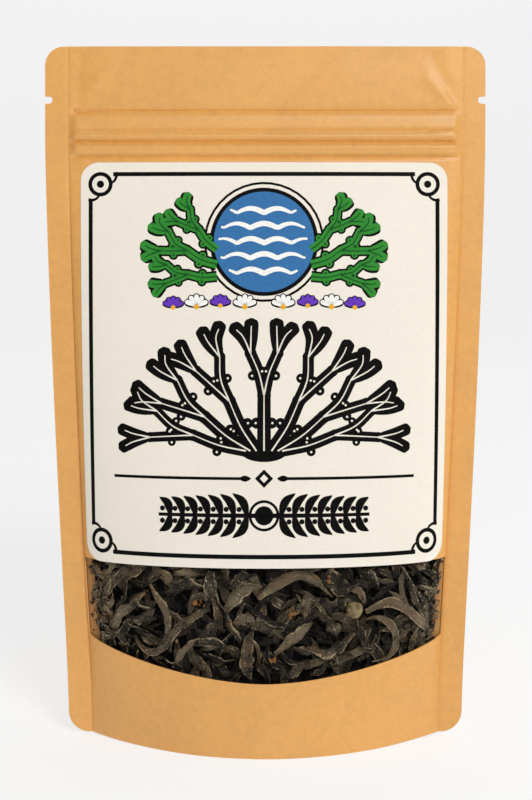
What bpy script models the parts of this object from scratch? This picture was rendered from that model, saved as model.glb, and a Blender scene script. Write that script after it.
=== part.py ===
"""A stand-up pouch of kraft paper with a window, filled with dried, cut bladderwrack.

Frame: +Z up, the front of the pouch faces -Y, and the origin is under the middle of the base.
The panels are cut flat, with u across and v up, and then formed: a section of the filled pouch at
any height is a round-cornered arc as long as the flat panel is wide, and a flatter lens at the base.
Lengths are in millimetres and become metres where a mesh is written.
"""

import math
import random
from functools import lru_cache

import bmesh
import bpy
from mathutils import Vector
from mathutils.geometry import delaunay_2d_cdt

MM = 0.001

# The pouch, laid flat
POUCH_WIDTH = 150.0
PANEL_HEIGHT = 234.7
SEAL_WIDTH = 8.0
TOP_CORNER_RADIUS = 6.5
BOTTOM_CORNER_RADIUS = 7.0
CORNER_LIFT = 0.8
NOTCH_BELOW_TOP = 18.2
NOTCH_DEPTH = 2.5
NOTCH_HEIGHT = 2.6
SHEET = 0.4
SEAL_GAP = 0.3

# The filled form
BULGE_RATE = 0.4025
BULGE_POWER = 0.77
BULGE_TOP = 203.6
BULGE_TOP_BLEND = 1.2
RIM_HEIGHT = 12.0
RIM_BLEND = 8.0
CLOSED_DEPTH = 0.3
SECTION_POWER = 0.55
BASE_SECTION_POWER = 1.0
BASE_SECTION_HEIGHT = 55.0

# The zip
ZIP_HEIGHT = 204.3
ZIP_BAND_TOP = 212.4
ZIP_BAND_LOW = 197.2
ZIP_BAND_BLEND = 1.6
ZIP_BAND_EDGE = 5.0
ZIP_BAND_RELIEF = 1.25
ZIP_RIDGES = ((204.3, 0.5, 1.1), (200.4, 0.35, 1.2))
ZIP_LENGTH = 124.0
FLANGE_LOW = -4.4
FLANGE_HIGH = 5.6

# The window and the label
WINDOW_HALF_WIDTH = 65.9
WINDOW_TOP = 61.2
WINDOW_LOW = 24.0
WINDOW_SIDE_RISE = 11.0
WINDOW_CURVE_POWER = 1.7
FILM_CLEARANCE = 0.3
LABEL_HALF_WIDTH = 62.3
LABEL_OFFSET = -0.4
LABEL_LOW = 61.0
LABEL_TOP = 195.1
LABEL_CORNER_RADIUS = 6.2
LABEL_SHEET = 0.3
LABEL_GAP = 0.3

# The gusset
GUSSET_SEAL_LOW = 5.0
GUSSET_SEAL_HIGH = 31.0
GUSSET_SEAL_POWER = 2.5
GUSSET_FOLD_HIGH = 27.0
GUSSET_FLAT_HALF_LENGTH = 22.0
GUSSET_FLAT_SHARE = 0.5
GUSSET_HALF_LENGTH = 57.0
GUSSET_FOLD_POWER = 1.7
GUSSET_RISE_POWER = 2.2
GUSSET_GAP = 0.4

# The filling
FILL_SEED = 11
FILL_TOP = 150.0
FILL_CORE_INSET = 3.8
FILL_CORE_SIDE_INSET = 4.2
FILL_CORE_SHOULDER = 0.72
FILL_CORE_ROUNDING = (0.85, 0.5)
STRIP_THICKNESS = 0.75
STRIP_STEPS = 5
FRONT_DEPTH = 1.2
ROOT_DEPTH = 5.6
FUSE_DISTANCE = 0.004
BLADDER_DIAMETER = 6.0
BLADDER_PLACE = (31.0, 45.2)

# Spacing of the mesh
COLUMNS = (0.0, 12.0, 24.0, 36.0, 47.0, 56.0, 61.5, 65.0)
ROW_SPACING = 15.0
CORNER_STEPS = 5
SECTION_SAMPLES = 48

PANEL_HALF = POUCH_WIDTH / 2 - SEAL_WIDTH

# Strips that lie against the window: start, middle and end as (u, v), then the width
WINDOW_STRIPS = (
    ((-19.0, 57.0), (-19.0, 52.0), (-15.0, 44.5), 4.4),
    ((-14.2, 45.2), (-9.6, 49.5), (-3.0, 51.5), 3.6),
    ((0.0, 48.0), (5.0, 53.0), (12.5, 56.0), 4.6),
    ((11.4, 55.2), (20.0, 54.5), (27.5, 49.0), 6.4),
    ((-8.0, 46.5), (1.5, 42.0), (10.0, 39.0), 2.6),
    ((-15.0, 43.0), (-12.5, 38.0), (-9.5, 33.0), 3.0),
    ((-5.0, 38.0), (-7.0, 31.0), (-6.0, 23.5), 5.0),
    ((17.0, 39.5), (10.5, 34.5), (3.5, 29.5), 4.0),
    ((-27.5, 33.0), (-21.0, 35.0), (-11.0, 31.5), 4.2),
    ((-25.5, 30.5), (-18.0, 28.5), (-11.0, 29.0), 4.4),
    ((13.5, 50.0), (14.0, 45.0), (13.0, 41.0), 3.0),
    ((15.5, 31.5), (24.0, 30.0), (33.5, 36.5), 3.6),
    ((5.5, 23.5), (10.0, 26.0), (15.5, 28.0), 3.4),
    ((-6.0, 29.5), (-1.0, 26.0), (4.5, 23.0), 2.8),
    ((37.0, 46.0), (46.0, 48.5), (62.0, 39.0), 3.6),
    ((35.5, 42.0), (46.5, 41.0), (43.0, 30.5), 2.8),
    ((34.0, 42.0), (35.5, 37.0), (40.0, 33.0), 2.6),
    ((22.5, 29.0), (26.5, 27.0), (31.0, 27.5), 6.4),
    ((51.0, 59.0), (56.0, 50.0), (62.5, 38.0), 2.6),
    ((37.0, 57.0), (40.5, 54.0), (44.0, 50.5), 3.8),
    ((-43.5, 52.5), (-39.0, 46.5), (-36.5, 37.5), 3.6),
    ((-42.0, 31.5), (-33.0, 37.0), (-22.0, 44.0), 3.6),
    ((-52.0, 36.5), (-48.0, 31.5), (-41.5, 31.0), 3.6),
    ((-58.5, 37.5), (-55.0, 44.0), (-49.5, 48.5), 3.0),
    ((-48.6, 47.6), (-46.0, 44.5), (-41.0, 44.0), 4.2),
    ((-50.0, 41.5), (-45.5, 42.0), (-40.5, 39.5), 4.8),
    ((-34.5, 27.0), (-31.0, 32.0), (-24.5, 35.5), 3.2),
    ((-40.0, 50.0), (-34.0, 52.5), (-26.5, 52.5), 4.0),
    ((-56.5, 54.5), (-52.0, 57.0), (-45.0, 57.0), 4.4),
    ((-54.5, 37.5), (-53.0, 34.0), (-51.5, 31.0), 3.0),
)


def soft_ramp(value, width):
    """Zero below 0 and the value above it, with a bend of the given width."""
    if value > 30 * width:
        return value
    return width * math.log1p(math.exp(value / width))


def smooth_step(value):
    """0 below 0, 1 above 1, and 3t^2 - 2t^3 between them."""
    t = min(max(value, 0.0), 1.0)
    return t * t * (3 - 2 * t)


def bulge_depth(v):
    """How far the middle of a panel stands out at height v, in front of the side seals."""
    run = soft_ramp(BULGE_TOP - v, BULGE_TOP_BLEND) - soft_ramp(RIM_HEIGHT - v, RIM_BLEND)
    return math.hypot(CLOSED_DEPTH, BULGE_RATE * max(run, 0.0) ** BULGE_POWER)


def section_power(v):
    """Power of the section's curve at height v: steep at the seams, and a plain lens at the base."""
    share = smooth_step((BASE_SECTION_HEIGHT - v) / BASE_SECTION_HEIGHT)
    return SECTION_POWER + (BASE_SECTION_POWER - SECTION_POWER) * share


def section_arc(depth, chord, power):
    """Points (x, length of the arc up to x) along half of a section, from its middle to a seam."""
    points = [(0.0, 0.0)]
    x, y = 0.0, depth
    for i in range(1, SECTION_SAMPLES + 1):
        share = math.sin(math.pi / 2 * i / SECTION_SAMPLES)
        next_x, next_y = share * chord, depth * max(1 - share * share, 0.0) ** power
        points.append((next_x, points[-1][1] + math.hypot(next_x - x, next_y - y)))
        x, y = next_x, next_y
    return points


@lru_cache(maxsize=None)
def whole_chord(depth):
    """Half the width between the seams once a panel bulges by a whole number of millimetres."""
    low, high = PANEL_HALF * 0.7, PANEL_HALF
    for _ in range(30):
        middle = (low + high) / 2
        if section_arc(depth, middle, SECTION_POWER)[-1][1] > PANEL_HALF:
            high = middle
        else:
            low = middle
    return (low + high) / 2


def half_chord(depth):
    """Half the width between the seams once a panel bulges by depth."""
    whole = math.floor(depth)
    share = depth - whole
    return whole_chord(whole) * (1 - share) + whole_chord(whole + 1) * share


def across(u, v):
    """The formed x of the flat point (u, v)."""
    depth = bulge_depth(v)
    chord = half_chord(depth)
    flat = abs(u)
    if flat >= PANEL_HALF:
        return math.copysign(chord + flat - PANEL_HALF, u)
    arc_points = section_arc(depth, chord, section_power(v))
    wanted = flat * arc_points[-1][1] / PANEL_HALF
    for (x0, length0), (x1, length1) in zip(arc_points, arc_points[1:]):
        if wanted <= length1:
            return math.copysign(x0 + (x1 - x0) * (wanted - length0) / (length1 - length0), u)
    return math.copysign(chord, u)


def zip_relief(v):
    """How far the closed zip pushes the paper out at height v."""
    band = smooth_step((ZIP_BAND_TOP - v) / ZIP_BAND_BLEND)
    band *= smooth_step((v - ZIP_BAND_LOW) / ZIP_BAND_BLEND)
    ridges = sum(height * math.exp(-(((v - at) / spread) ** 2)) for at, height, spread in ZIP_RIDGES)
    return ZIP_BAND_RELIEF * band + ridges


def half_depth(x, v):
    """Distance from the pouch's middle plane to the middle of the paper at (x, v)."""
    depth = bulge_depth(v)
    chord = half_chord(depth)
    share = abs(x) / chord
    if share >= 1:
        return (SEAL_GAP + SHEET) / 2
    relief = zip_relief(v) * smooth_step((chord - abs(x)) / ZIP_BAND_EDGE)
    return (SEAL_GAP + SHEET) / 2 + relief + depth * (1 - share * share) ** section_power(v)


def front_point(u, v, outward=0.0):
    """The front panel's point (u, v), moved outward along the panel's normal."""
    x = across(u, v)
    y = -half_depth(x, v)
    if not outward:
        return Vector((x, y, v))
    step = 0.2
    slope_x = (half_depth(x + step, v) - half_depth(x - step, v)) / (2 * step)
    slope_v = (half_depth(x, v + step) - half_depth(x, v - step)) / (2 * step)
    normal = Vector((-slope_x, -1.0, -slope_v)).normalized()
    return Vector((x, y, v)) + normal * outward


def bottom_edge(u):
    """Height of the panel's lower edge: on the floor in the middle and lifted at the seals."""
    share = max(abs(u) - 20.0, 0.0) / (PANEL_HALF - 20.0)
    return 0.03 + CORNER_LIFT * min(share, 1.0) ** 2


def arc(centre, radius, start, end, steps=CORNER_STEPS):
    """Points of an arc from angle start to angle end, in degrees."""
    angles = [math.radians(start + (end - start) * i / steps) for i in range(steps + 1)]
    return [(centre[0] + radius * math.cos(a), centre[1] + radius * math.sin(a)) for a in angles]


def mirrored(half):
    """A closed outline from its right half, which runs from the bottom middle to the top middle."""
    left = [(-u, v) for u, v in reversed(half) if abs(u) > 1e-6]
    return half + left


def spaced(start, end, spacing):
    """Evenly spaced values from start to end, both ends included."""
    count = max(1, round(abs(end - start) / spacing))
    return [start + (end - start) * i / count for i in range(count + 1)]


def panel_columns():
    """The u of the mesh's columns: close together at the seams, where the paper turns."""
    right = COLUMNS[1:] + (PANEL_HALF,)
    return [-u for u in reversed(right)] + [0.0] + list(right)


def panel_rows():
    """The v of the mesh's rows: close together where the zip is pressed into the paper."""
    below = spaced(ROW_SPACING, ZIP_BAND_LOW - 7, ROW_SPACING)
    zip_lines = [196.6, 199.0, 200.4, 202.4, 204.3, 206.2, 210.8, 212.8]
    above = spaced(220.0, PANEL_HEIGHT - 7, 8.0)
    return below + zip_lines + above


def panel_outline():
    """The panel's cut: curved lower edge, round corners and a tear notch on each side."""
    half_width = POUCH_WIDTH / 2
    bottom = [(u, bottom_edge(u)) for u in panel_columns() if 0 <= u < PANEL_HALF - 1]
    lift = bottom_edge(PANEL_HALF)
    low_corner = (half_width - BOTTOM_CORNER_RADIUS, lift + BOTTOM_CORNER_RADIUS)
    top_corner = (half_width - TOP_CORNER_RADIUS, PANEL_HEIGHT - TOP_CORNER_RADIUS)
    notch = PANEL_HEIGHT - NOTCH_BELOW_TOP
    notch_radius = NOTCH_HEIGHT / 2
    notch_centre = (half_width - NOTCH_DEPTH + notch_radius, notch)
    side = [v for v in panel_rows() if low_corner[1] + 3 < v < notch - 4]
    half = bottom + arc(low_corner, BOTTOM_CORNER_RADIUS, -90, 0)
    half += [(half_width, v) for v in side[::2]]
    half += [(half_width, notch - notch_radius)]
    half += arc(notch_centre, notch_radius, 270, 90, 4)
    half += [(half_width, notch + notch_radius)]
    half += arc(top_corner, TOP_CORNER_RADIUS, 0, 90)
    half += [(u, PANEL_HEIGHT) for u in reversed(panel_columns()) if 0 <= u < PANEL_HALF - 2]
    return mirrored(half)


def window_low(u):
    """Height of the window's lower edge at u."""
    return WINDOW_LOW + WINDOW_SIDE_RISE * (abs(u) / PANEL_HALF) ** WINDOW_CURVE_POWER


def window_outline(clearance=0.0):
    """The window's cut: straight top and sides and a curved lower edge."""
    half_width = WINDOW_HALF_WIDTH - clearance
    top = WINDOW_TOP - clearance
    columns = [u for u in panel_columns() if 0 <= u < half_width - 0.5]
    half = [(u, window_low(u) + clearance) for u in columns]
    half += [(half_width, window_low(half_width) + clearance)]
    half += [(half_width, (top + window_low(half_width)) / 2)]
    half += [(half_width, top)]
    half += [(u, top) for u in reversed(columns)]
    return mirrored(half)


def label_outline():
    """The label's cut: a rectangle with round corners."""
    inner = LABEL_HALF_WIDTH - LABEL_CORNER_RADIUS
    low, high = LABEL_LOW + LABEL_CORNER_RADIUS, LABEL_TOP - LABEL_CORNER_RADIUS
    columns = [u for u in panel_columns() if 0 <= u < inner - 2]
    rows = [v for v in panel_rows() if low + 3 < v < high - 3]
    half = [(u, LABEL_LOW) for u in columns]
    half += arc((inner, low), LABEL_CORNER_RADIUS, -90, 0)
    half += [(LABEL_HALF_WIDTH, v) for v in rows]
    half += arc((inner, high), LABEL_CORNER_RADIUS, 0, 90)
    half += [(u, LABEL_TOP) for u in reversed(columns)]
    return [(u + LABEL_OFFSET, v) for u, v in mirrored(half)]


def inside(point, loop):
    """Whether a flat point lies inside a closed loop, by the number of edges to its right."""
    u, v = point
    crossings = 0
    for (u0, v0), (u1, v1) in zip(loop, loop[1:] + loop[:1]):
        if (v0 > v) != (v1 > v) and u < u0 + (v - v0) * (u1 - u0) / (v1 - v0):
            crossings += 1
    return crossings % 2 == 1


def edge_distance(point, loop):
    """Distance from a flat point to the nearest edge of a loop."""
    best = 1e9
    here = Vector(point)
    for start, end in zip(loop, loop[1:] + loop[:1]):
        a, b = Vector(start), Vector(end)
        along = max(0.0, min(1.0, (here - a).dot(b - a) / max((b - a).length_squared, 1e-9)))
        best = min(best, (here - a - (b - a) * along).length)
    return best


def flat_sheet(outline, hole=None, grid=()):
    """Triangles of a flat sheet with an outline, a hole and mesh points inside them."""
    loops = [outline] + ([hole] if hole else [])
    points, edges = [], []
    for loop in loops:
        first = len(points)
        points += loop
        edges += [(first + i, first + (i + 1) % len(loop)) for i in range(len(loop))]
    for point in grid:
        clear = all(edge_distance(point, loop) > 2.0 for loop in loops)
        if clear and inside(point, outline) and not (hole and inside(point, hole)):
            points.append(point)
    result = delaunay_2d_cdt([Vector(p) for p in points], edges, [], 1, 1e-4)
    flat, triangles = result[0], result[2]
    kept = []
    for triangle in triangles:
        centre = sum((flat[i] for i in triangle), Vector((0.0, 0.0))) / len(triangle)
        if inside(centre, outline) and not (hole and inside(centre, hole)):
            kept.append(triangle)
    return flat, kept


def add_mesh(name, points, faces, material, parent, sharp_angle=40.0):
    """A mesh object from points in millimetres."""
    mesh = bpy.data.meshes.new(name)
    mesh.from_pydata([tuple(c * MM for c in p) for p in points], [], faces)
    mesh.validate()
    mesh.shade_smooth()
    mesh.set_sharp_from_angle(angle=math.radians(sharp_angle))
    mesh.materials.append(material)
    made = bpy.data.objects.new(name, mesh)
    bpy.context.scene.collection.objects.link(made)
    made.parent = parent
    return made


def add_thickness(made, thickness, offset):
    """Turns a surface into a closed sheet; offset 1 adds the sheet outside it and 0 around it."""
    solidify = made.modifiers.new("sheet", "SOLIDIFY")
    solidify.thickness = thickness * MM
    solidify.offset = offset
    solidify.use_even_offset = False
    solidify.use_quality_normals = True


def paper(name, colour, roughness, metallic=0.0, alpha=1.0):
    """A Principled material."""
    material = bpy.data.materials.new(name)
    material.use_nodes = True
    shader = material.node_tree.nodes["Principled BSDF"]
    shader.inputs["Base Color"].default_value = (*colour, 1.0)
    shader.inputs["Roughness"].default_value = roughness
    shader.inputs["Metallic"].default_value = metallic
    shader.inputs["Alpha"].default_value = alpha
    return material


def grid_points(rows, columns):
    """Every crossing of the mesh's rows and columns."""
    return [(u, v) for v in rows for u in columns]


def front_panel(material, parent):
    """The front panel, cut open for the window."""
    columns = panel_columns()
    flat, faces = flat_sheet(panel_outline(), window_outline(), grid_points(panel_rows(), columns))
    points = [front_point(u, v) for u, v in flat]
    add_thickness(add_mesh("front_panel", points, faces, material, parent), SHEET, 0)


def back_panel(material, parent):
    """The back panel: the front one's cut with no window, turned to face +Y."""
    flat, faces = flat_sheet(panel_outline(), None, grid_points(panel_rows(), panel_columns()))
    points = [front_point(u, v) for u, v in flat]
    points = [Vector((p.x, -p.y, p.z)) for p in points]
    faces = [list(reversed(face)) for face in faces]
    add_thickness(add_mesh("back_panel", points, faces, material, parent), SHEET, 0)


def window_film(material, parent):
    """The clear film, in the plane of the paper that it closes."""
    outline = window_outline(FILM_CLEARANCE)
    flat, faces = flat_sheet(outline, None, grid_points(spaced(30.0, 57.0, 9.0), panel_columns()))
    points = [front_point(u, v) for u, v in flat]
    add_thickness(add_mesh("window_film", points, faces, material, parent), SHEET, 0)


def label(material, parent):
    """The label on the front panel."""
    flat, faces = flat_sheet(label_outline(), None, grid_points(panel_rows(), panel_columns()))
    standoff = SHEET / 2 + LABEL_GAP
    points = [front_point(u, v, standoff) for u, v in flat]
    add_thickness(add_mesh("label", points, faces, material, parent), LABEL_SHEET, 1)


def gusset_seal(x):
    """Height of the seal that joins the gusset to a panel."""
    share = min(abs(x) / GUSSET_HALF_LENGTH, 1.0)
    return GUSSET_SEAL_LOW + (GUSSET_SEAL_HIGH - GUSSET_SEAL_LOW) * share**GUSSET_SEAL_POWER


def gusset_fold(x):
    """Height of the gusset's middle fold: flat on the floor, and rising towards the side seals."""
    run = GUSSET_HALF_LENGTH - GUSSET_FLAT_HALF_LENGTH
    share = max(abs(x) - GUSSET_FLAT_HALF_LENGTH, 0.0) / run
    return GUSSET_FOLD_HIGH * min(share, 1.0) ** GUSSET_FOLD_POWER


def gusset_height(x, across_share):
    """Height of the gusset's underside at x, where across_share runs from -1, front, to 1, back."""
    share = max(abs(across_share) - GUSSET_FLAT_SHARE, 0.0) / (1 - GUSSET_FLAT_SHARE)
    fold = gusset_fold(x)
    return fold + (gusset_seal(x) - fold) * min(share, 1.0) ** GUSSET_RISE_POWER


def gusset_half_width(x):
    """Distance from the middle plane to the gusset's edge, just inside the panel."""
    return half_depth(x, gusset_seal(x)) - SHEET / 2 - GUSSET_GAP


def gusset(material, parent):
    """The folded bottom of the pouch, opened out so that its middle lies on the floor."""
    stations = spaced(-GUSSET_HALF_LENGTH, -GUSSET_FLAT_HALF_LENGTH, 4.5)
    stations += spaced(-GUSSET_FLAT_HALF_LENGTH, GUSSET_FLAT_HALF_LENGTH, 11.0)[1:]
    stations += spaced(GUSSET_FLAT_HALF_LENGTH, GUSSET_HALF_LENGTH, 4.5)[1:]
    shares = [-1.0, -0.88, -0.76, -0.63, -GUSSET_FLAT_SHARE, 0.0]
    shares += [-s for s in reversed(shares[:-1])]
    points = [
        Vector((x, s * gusset_half_width(x), gusset_height(x, s))) for x in stations for s in shares
    ]
    width = len(shares)
    faces = []
    for i in range(len(stations) - 1):
        for j in range(width - 1):
            a = i * width + j
            faces += [(a, a + width, a + width + 1), (a, a + width + 1, a + 1)]
    made = add_mesh("bottom_gusset", points, faces, material, parent)
    add_thickness(made, SHEET, 1)


def zip_track(name, profile, material, parent):
    """One half of the zip: its section, given as (y, z), carried across the pouch."""
    half = ZIP_LENGTH / 2
    count = len(profile)
    points = [(x, y, z) for x in (-half, half) for y, z in profile]
    faces = [tuple(reversed(range(count))), tuple(range(count, 2 * count))]
    faces += [(i, (i + 1) % count, count + (i + 1) % count, count + i) for i in range(count)]
    made = add_mesh(name, points, faces, material, parent, 20.0)
    made.location = (0.0, 0.0, ZIP_HEIGHT * MM)
    return made


def zip_halves(material, parent):
    """The two halves of the press-to-close zip: a channel in front and a rib behind."""
    channel = [
        (-1.2, FLANGE_LOW),
        (-0.85, FLANGE_LOW),
        (-0.85, -1.35),
        (0.35, -1.35),
        (0.35, -0.55),
        (0.1, -0.55),
        (0.1, -1.0),
        (-0.85, -1.0),
        (-0.85, 1.0),
        (0.1, 1.0),
        (0.1, 0.55),
        (0.35, 0.55),
        (0.35, 1.35),
        (-0.85, 1.35),
        (-0.85, FLANGE_HIGH),
        (-1.2, FLANGE_HIGH),
    ]
    rib = [
        (1.2, FLANGE_LOW),
        (1.2, FLANGE_HIGH),
        (0.85, FLANGE_HIGH),
        (0.85, 0.22),
        (-0.15, 0.22),
        (-0.15, 0.72),
        (-0.5, 0.35),
        (-0.5, -0.35),
        (-0.15, -0.72),
        (-0.15, -0.22),
        (0.85, -0.22),
        (0.85, FLANGE_LOW),
    ]
    zip_track("zip_channel", channel, material, parent)
    zip_track("zip_rib", rib, material, parent)


def fill_point(u, v, depth):
    """A point inside the pouch, at a depth behind the front panel's inner face.

    It is measured along the normal of a plain lens, which doesn't fold over near the seams.
    """
    x = across(u, v)
    lean = 2 * bulge_depth(v) * x / half_chord(bulge_depth(v)) ** 2
    inward = Vector((-lean, 1.0, 0.0)).normalized()
    return Vector((x, -half_depth(x, v), v)) + inward * (SHEET / 2 + depth)


def core_points(levels, ring):
    """Rings of the heap's core, from just above the gusset to its rounded top."""
    rings = []
    wide, deep = FILL_CORE_ROUNDING
    for level in levels:
        past = max(level / FILL_TOP - FILL_CORE_SHOULDER, 0.0) / (1 - FILL_CORE_SHOULDER)
        shrink = math.sqrt(max(1.0 - past**2, 0.0))
        points = []
        for i in range(ring):
            angle = 2 * math.pi * i / ring
            z = level + 2.5
            for _ in range(3):
                chord = half_chord(bulge_depth(z)) - FILL_CORE_SIDE_INSET
                x = math.copysign(abs(math.cos(angle)) ** wide, math.cos(angle)) * chord * shrink
                room = max(half_depth(x, z) - SHEET / 2 - FILL_CORE_INSET, 0.4) * (0.35 + 0.65 * shrink)
                y = math.copysign(abs(math.sin(angle)) ** deep, math.sin(angle)) * room
                floor = gusset_height(x, y / max(gusset_half_width(x), 1.0)) + SHEET + 1.6
                z = floor + level * (1 - floor / (FILL_TOP + 10.0))
            points.append(Vector((x, y, z)))
        rings.append(points)
    return rings


def fill_core():
    """The heap's closed core, which every strip is rooted in."""
    ring = 22
    levels = [0.0, 9.0, 20.0, 34.0, 50.0, 68.0, 88.0, 108.0, 126.0, 139.0, 147.0]
    rings = core_points(levels, ring)
    points = [p for r in rings for p in r]
    faces = []
    for k in range(len(rings) - 1):
        for i in range(ring):
            a, b = k * ring + i, k * ring + (i + 1) % ring
            faces += [(a, b, b + ring), (a, b + ring, a + ring)]
    for first, end in ((0, False), ((len(rings) - 1) * ring, True)):
        centre = sum(points[first : first + ring], Vector()) / ring
        points.append(centre)
        for i in range(ring):
            a, b = first + i, first + (i + 1) % ring
            faces.append((len(points) - 1, a, b) if end else (len(points) - 1, b, a))
    return points, faces


def curve_through(start, middle, end, t):
    """A point of the smooth curve that passes start, middle and end at t = 0, 1/2 and 1."""
    a = (1 - t) * (1 - 2 * t)
    b = 4 * t * (1 - t)
    c = t * (2 * t - 1)
    return start * a + middle * b + end * c


def strip_solid(start, middle, end, width, depth, roll, place):
    """A cut strip of thallus: a flat blade, cut at its start and pointed at its end, sunk at both.

    place turns (u, v, depth) into a point, so that the same strip can lie at the front or the back.
    """
    start, middle, end = Vector(start), Vector(middle), Vector(end)
    points = []
    for i in range(STRIP_STEPS + 1):
        t = i / STRIP_STEPS
        here = curve_through(start, middle, end, t)
        ahead = curve_through(start, middle, end, min(t + 0.02, 1.0))
        behind = curve_through(start, middle, end, max(t - 0.02, 0.0))
        direction = (ahead - behind).normalized()
        side = Vector((-direction.y, direction.x))
        half = width / 2 * (0.55 + 0.45 * smooth_step(t / 0.35)) * (0.3 + 0.7 * smooth_step((1 - t) / 0.45))
        sink = depth + (ROOT_DEPTH - depth) * abs(2 * t - 1) ** 3
        for edge, layer in ((-1, 0), (1, 0), (1, 1), (-1, 1)):
            flat = here + side * (edge * half * math.cos(roll))
            down = sink + edge * half * math.sin(roll) + layer * STRIP_THICKNESS
            points.append(place(flat.x, flat.y, down))
    faces = [(0, 1, 2, 3)]
    for i in range(STRIP_STEPS):
        for j in range(4):
            a, b = 4 * i + j, 4 * i + (j + 1) % 4
            faces.append((b, a, a + 4, b + 4))
    last = 4 * STRIP_STEPS
    faces.append((last + 3, last + 2, last + 1, last))
    return points, faces


def bladder_solid(centre, diameter):
    """A round air bladder: a slightly flattened ball."""
    rings, sides = 5, 9
    points, faces = [centre + Vector((0, 0, diameter / 2))], []
    for i in range(1, rings):
        polar = math.pi * i / rings
        for j in range(sides):
            turn = 2 * math.pi * j / sides
            level_share = math.sin(polar)
            ray = Vector((math.cos(turn) * level_share, math.sin(turn) * level_share, math.cos(polar)))
            points.append(centre + ray * (diameter / 2))
    points.append(centre - Vector((0, 0, diameter / 2)))
    for j in range(sides):
        k = (j + 1) % sides
        faces.append((0, 1 + j, 1 + k))
        for i in range(rings - 2):
            a, b = 1 + i * sides + j, 1 + i * sides + k
            faces += [(a, a + sides, b + sides, b)]
        low = 1 + (rings - 2) * sides
        faces.append((low + j, len(points) - 1, low + k))
    return points, faces


def back_point(u, v, depth):
    """A point inside the pouch, at a depth behind the back panel's inner face."""
    p = fill_point(u, v, depth)
    return Vector((p.x, -p.y, p.z))


def scattered_strips(draw, count, low, high, reach, place):
    """Strips laid at random between two heights, each a little deeper than the front ones."""
    made = []
    for _ in range(count):
        v = draw.uniform(low, high)
        u = draw.uniform(-reach, reach)
        turn = draw.uniform(0, math.pi)
        length = draw.uniform(11.0, 19.0)
        bend = draw.uniform(-0.25, 0.25) * length
        width = draw.uniform(2.6, 4.6)
        roll = draw.uniform(-0.35, 0.35)
        depth = draw.uniform(2.2, 3.6)
        run = Vector((math.cos(turn), math.sin(turn))) * (length / 2)
        side = Vector((-run.y, run.x)).normalized() * bend
        start, middle, end = Vector((u, v)) - run, Vector((u, v)) + side, Vector((u, v)) + run
        outer = max(abs(start.x), abs(middle.x), abs(end.x)) + width / 2
        if outer > reach + 2 or min(start.y, end.y, middle.y) < low - 2:
            continue
        made.append(strip_solid(start, middle, end, width, depth, roll, place))
    return made


def shells(mesh):
    """The mesh's sets of faces that join along plain edges, largest first."""
    unseen = set(mesh.faces)
    found = []
    while unseen:
        front = [unseen.pop()]
        shell = list(front)
        while front:
            face = front.pop()
            for edge in face.edges:
                for other in edge.link_faces if len(edge.link_faces) == 2 else ():
                    if other in unseen:
                        unseen.remove(other)
                        front.append(other)
                        shell.append(other)
        found.append(shell)
    return sorted(found, key=len, reverse=True)


def fill_pockets(made):
    """Keeps only the outer surface, so that pockets closed off between strips become solid."""
    mesh = bmesh.new()
    mesh.from_mesh(made.data)
    bmesh.ops.triangulate(mesh, faces=mesh.faces)
    bmesh.ops.remove_doubles(mesh, verts=mesh.verts, dist=FUSE_DISTANCE * MM)
    bmesh.ops.dissolve_degenerate(mesh, edges=mesh.edges, dist=FUSE_DISTANCE * MM)
    for shell in shells(mesh)[1:]:
        bmesh.ops.delete(mesh, geom=shell, context="FACES")
    mesh.to_mesh(made.data)
    mesh.free()


def bladderwrack_fill(material, parent):
    """The dried, cut bladderwrack: one heap of strips and a bladder, fused where they touch."""
    draw = random.Random(FILL_SEED)
    solids = [
        strip_solid(
            start, middle, end, width,
            FRONT_DEPTH + draw.uniform(0.0, 1.3), draw.uniform(-0.25, 0.25), fill_point,
        )
        for start, middle, end, width in WINDOW_STRIPS
    ]
    solids += scattered_strips(draw, 64, 27.0, 64.0, 60.0, fill_point)
    solids += scattered_strips(draw, 10, 68.0, 130.0, 46.0, fill_point)
    solids += scattered_strips(draw, 10, 30.0, 130.0, 46.0, back_point)
    centre = fill_point(*BLADDER_PLACE, BLADDER_DIAMETER / 2 + 0.9)
    solids.append(bladder_solid(centre, BLADDER_DIAMETER))
    heap = add_mesh("bladderwrack_fill", *fill_core(), material, parent, 30.0)
    pieces = bpy.data.collections.new("strips")
    bpy.context.scene.collection.children.link(pieces)
    for number, (points, faces) in enumerate(solids):
        piece = add_mesh(f"strip_{number:03d}", points, faces, material, None)
        bpy.context.scene.collection.objects.unlink(piece)
        pieces.objects.link(piece)
    union = heap.modifiers.new("fused", "BOOLEAN")
    union.operation = "UNION"
    union.operand_type = "COLLECTION"
    union.collection = pieces
    union.solver = "MANIFOLD"
    bpy.context.view_layer.objects.active = heap
    bpy.context.view_layer.update()
    bpy.ops.object.modifier_apply(modifier=union.name)
    for piece in list(pieces.objects):
        bpy.data.objects.remove(piece)
    bpy.data.collections.remove(pieces)
    fill_pockets(heap)


def main():
    for old in list(bpy.data.objects):
        bpy.data.objects.remove(old)
    kraft = paper("kraft_paper", (0.69, 0.42, 0.17), 0.8)
    film = paper("clear_film", (0.9, 0.9, 0.88), 0.15, alpha=0.15)
    plastic = paper("zip_plastic", (0.85, 0.85, 0.83), 0.35, alpha=0.6)
    cream = paper("label_paper", (0.84, 0.79, 0.69), 0.55)
    wrack = paper("dried_bladderwrack", (0.055, 0.045, 0.032), 0.75)
    pouch = bpy.data.objects.new("pouch", None)
    bpy.context.scene.collection.objects.link(pouch)
    front_panel(kraft, pouch)
    back_panel(kraft, pouch)
    gusset(kraft, pouch)
    window_film(film, pouch)
    label(cream, pouch)
    zip_halves(plastic, pouch)
    bladderwrack_fill(wrack, pouch)


main()
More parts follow.
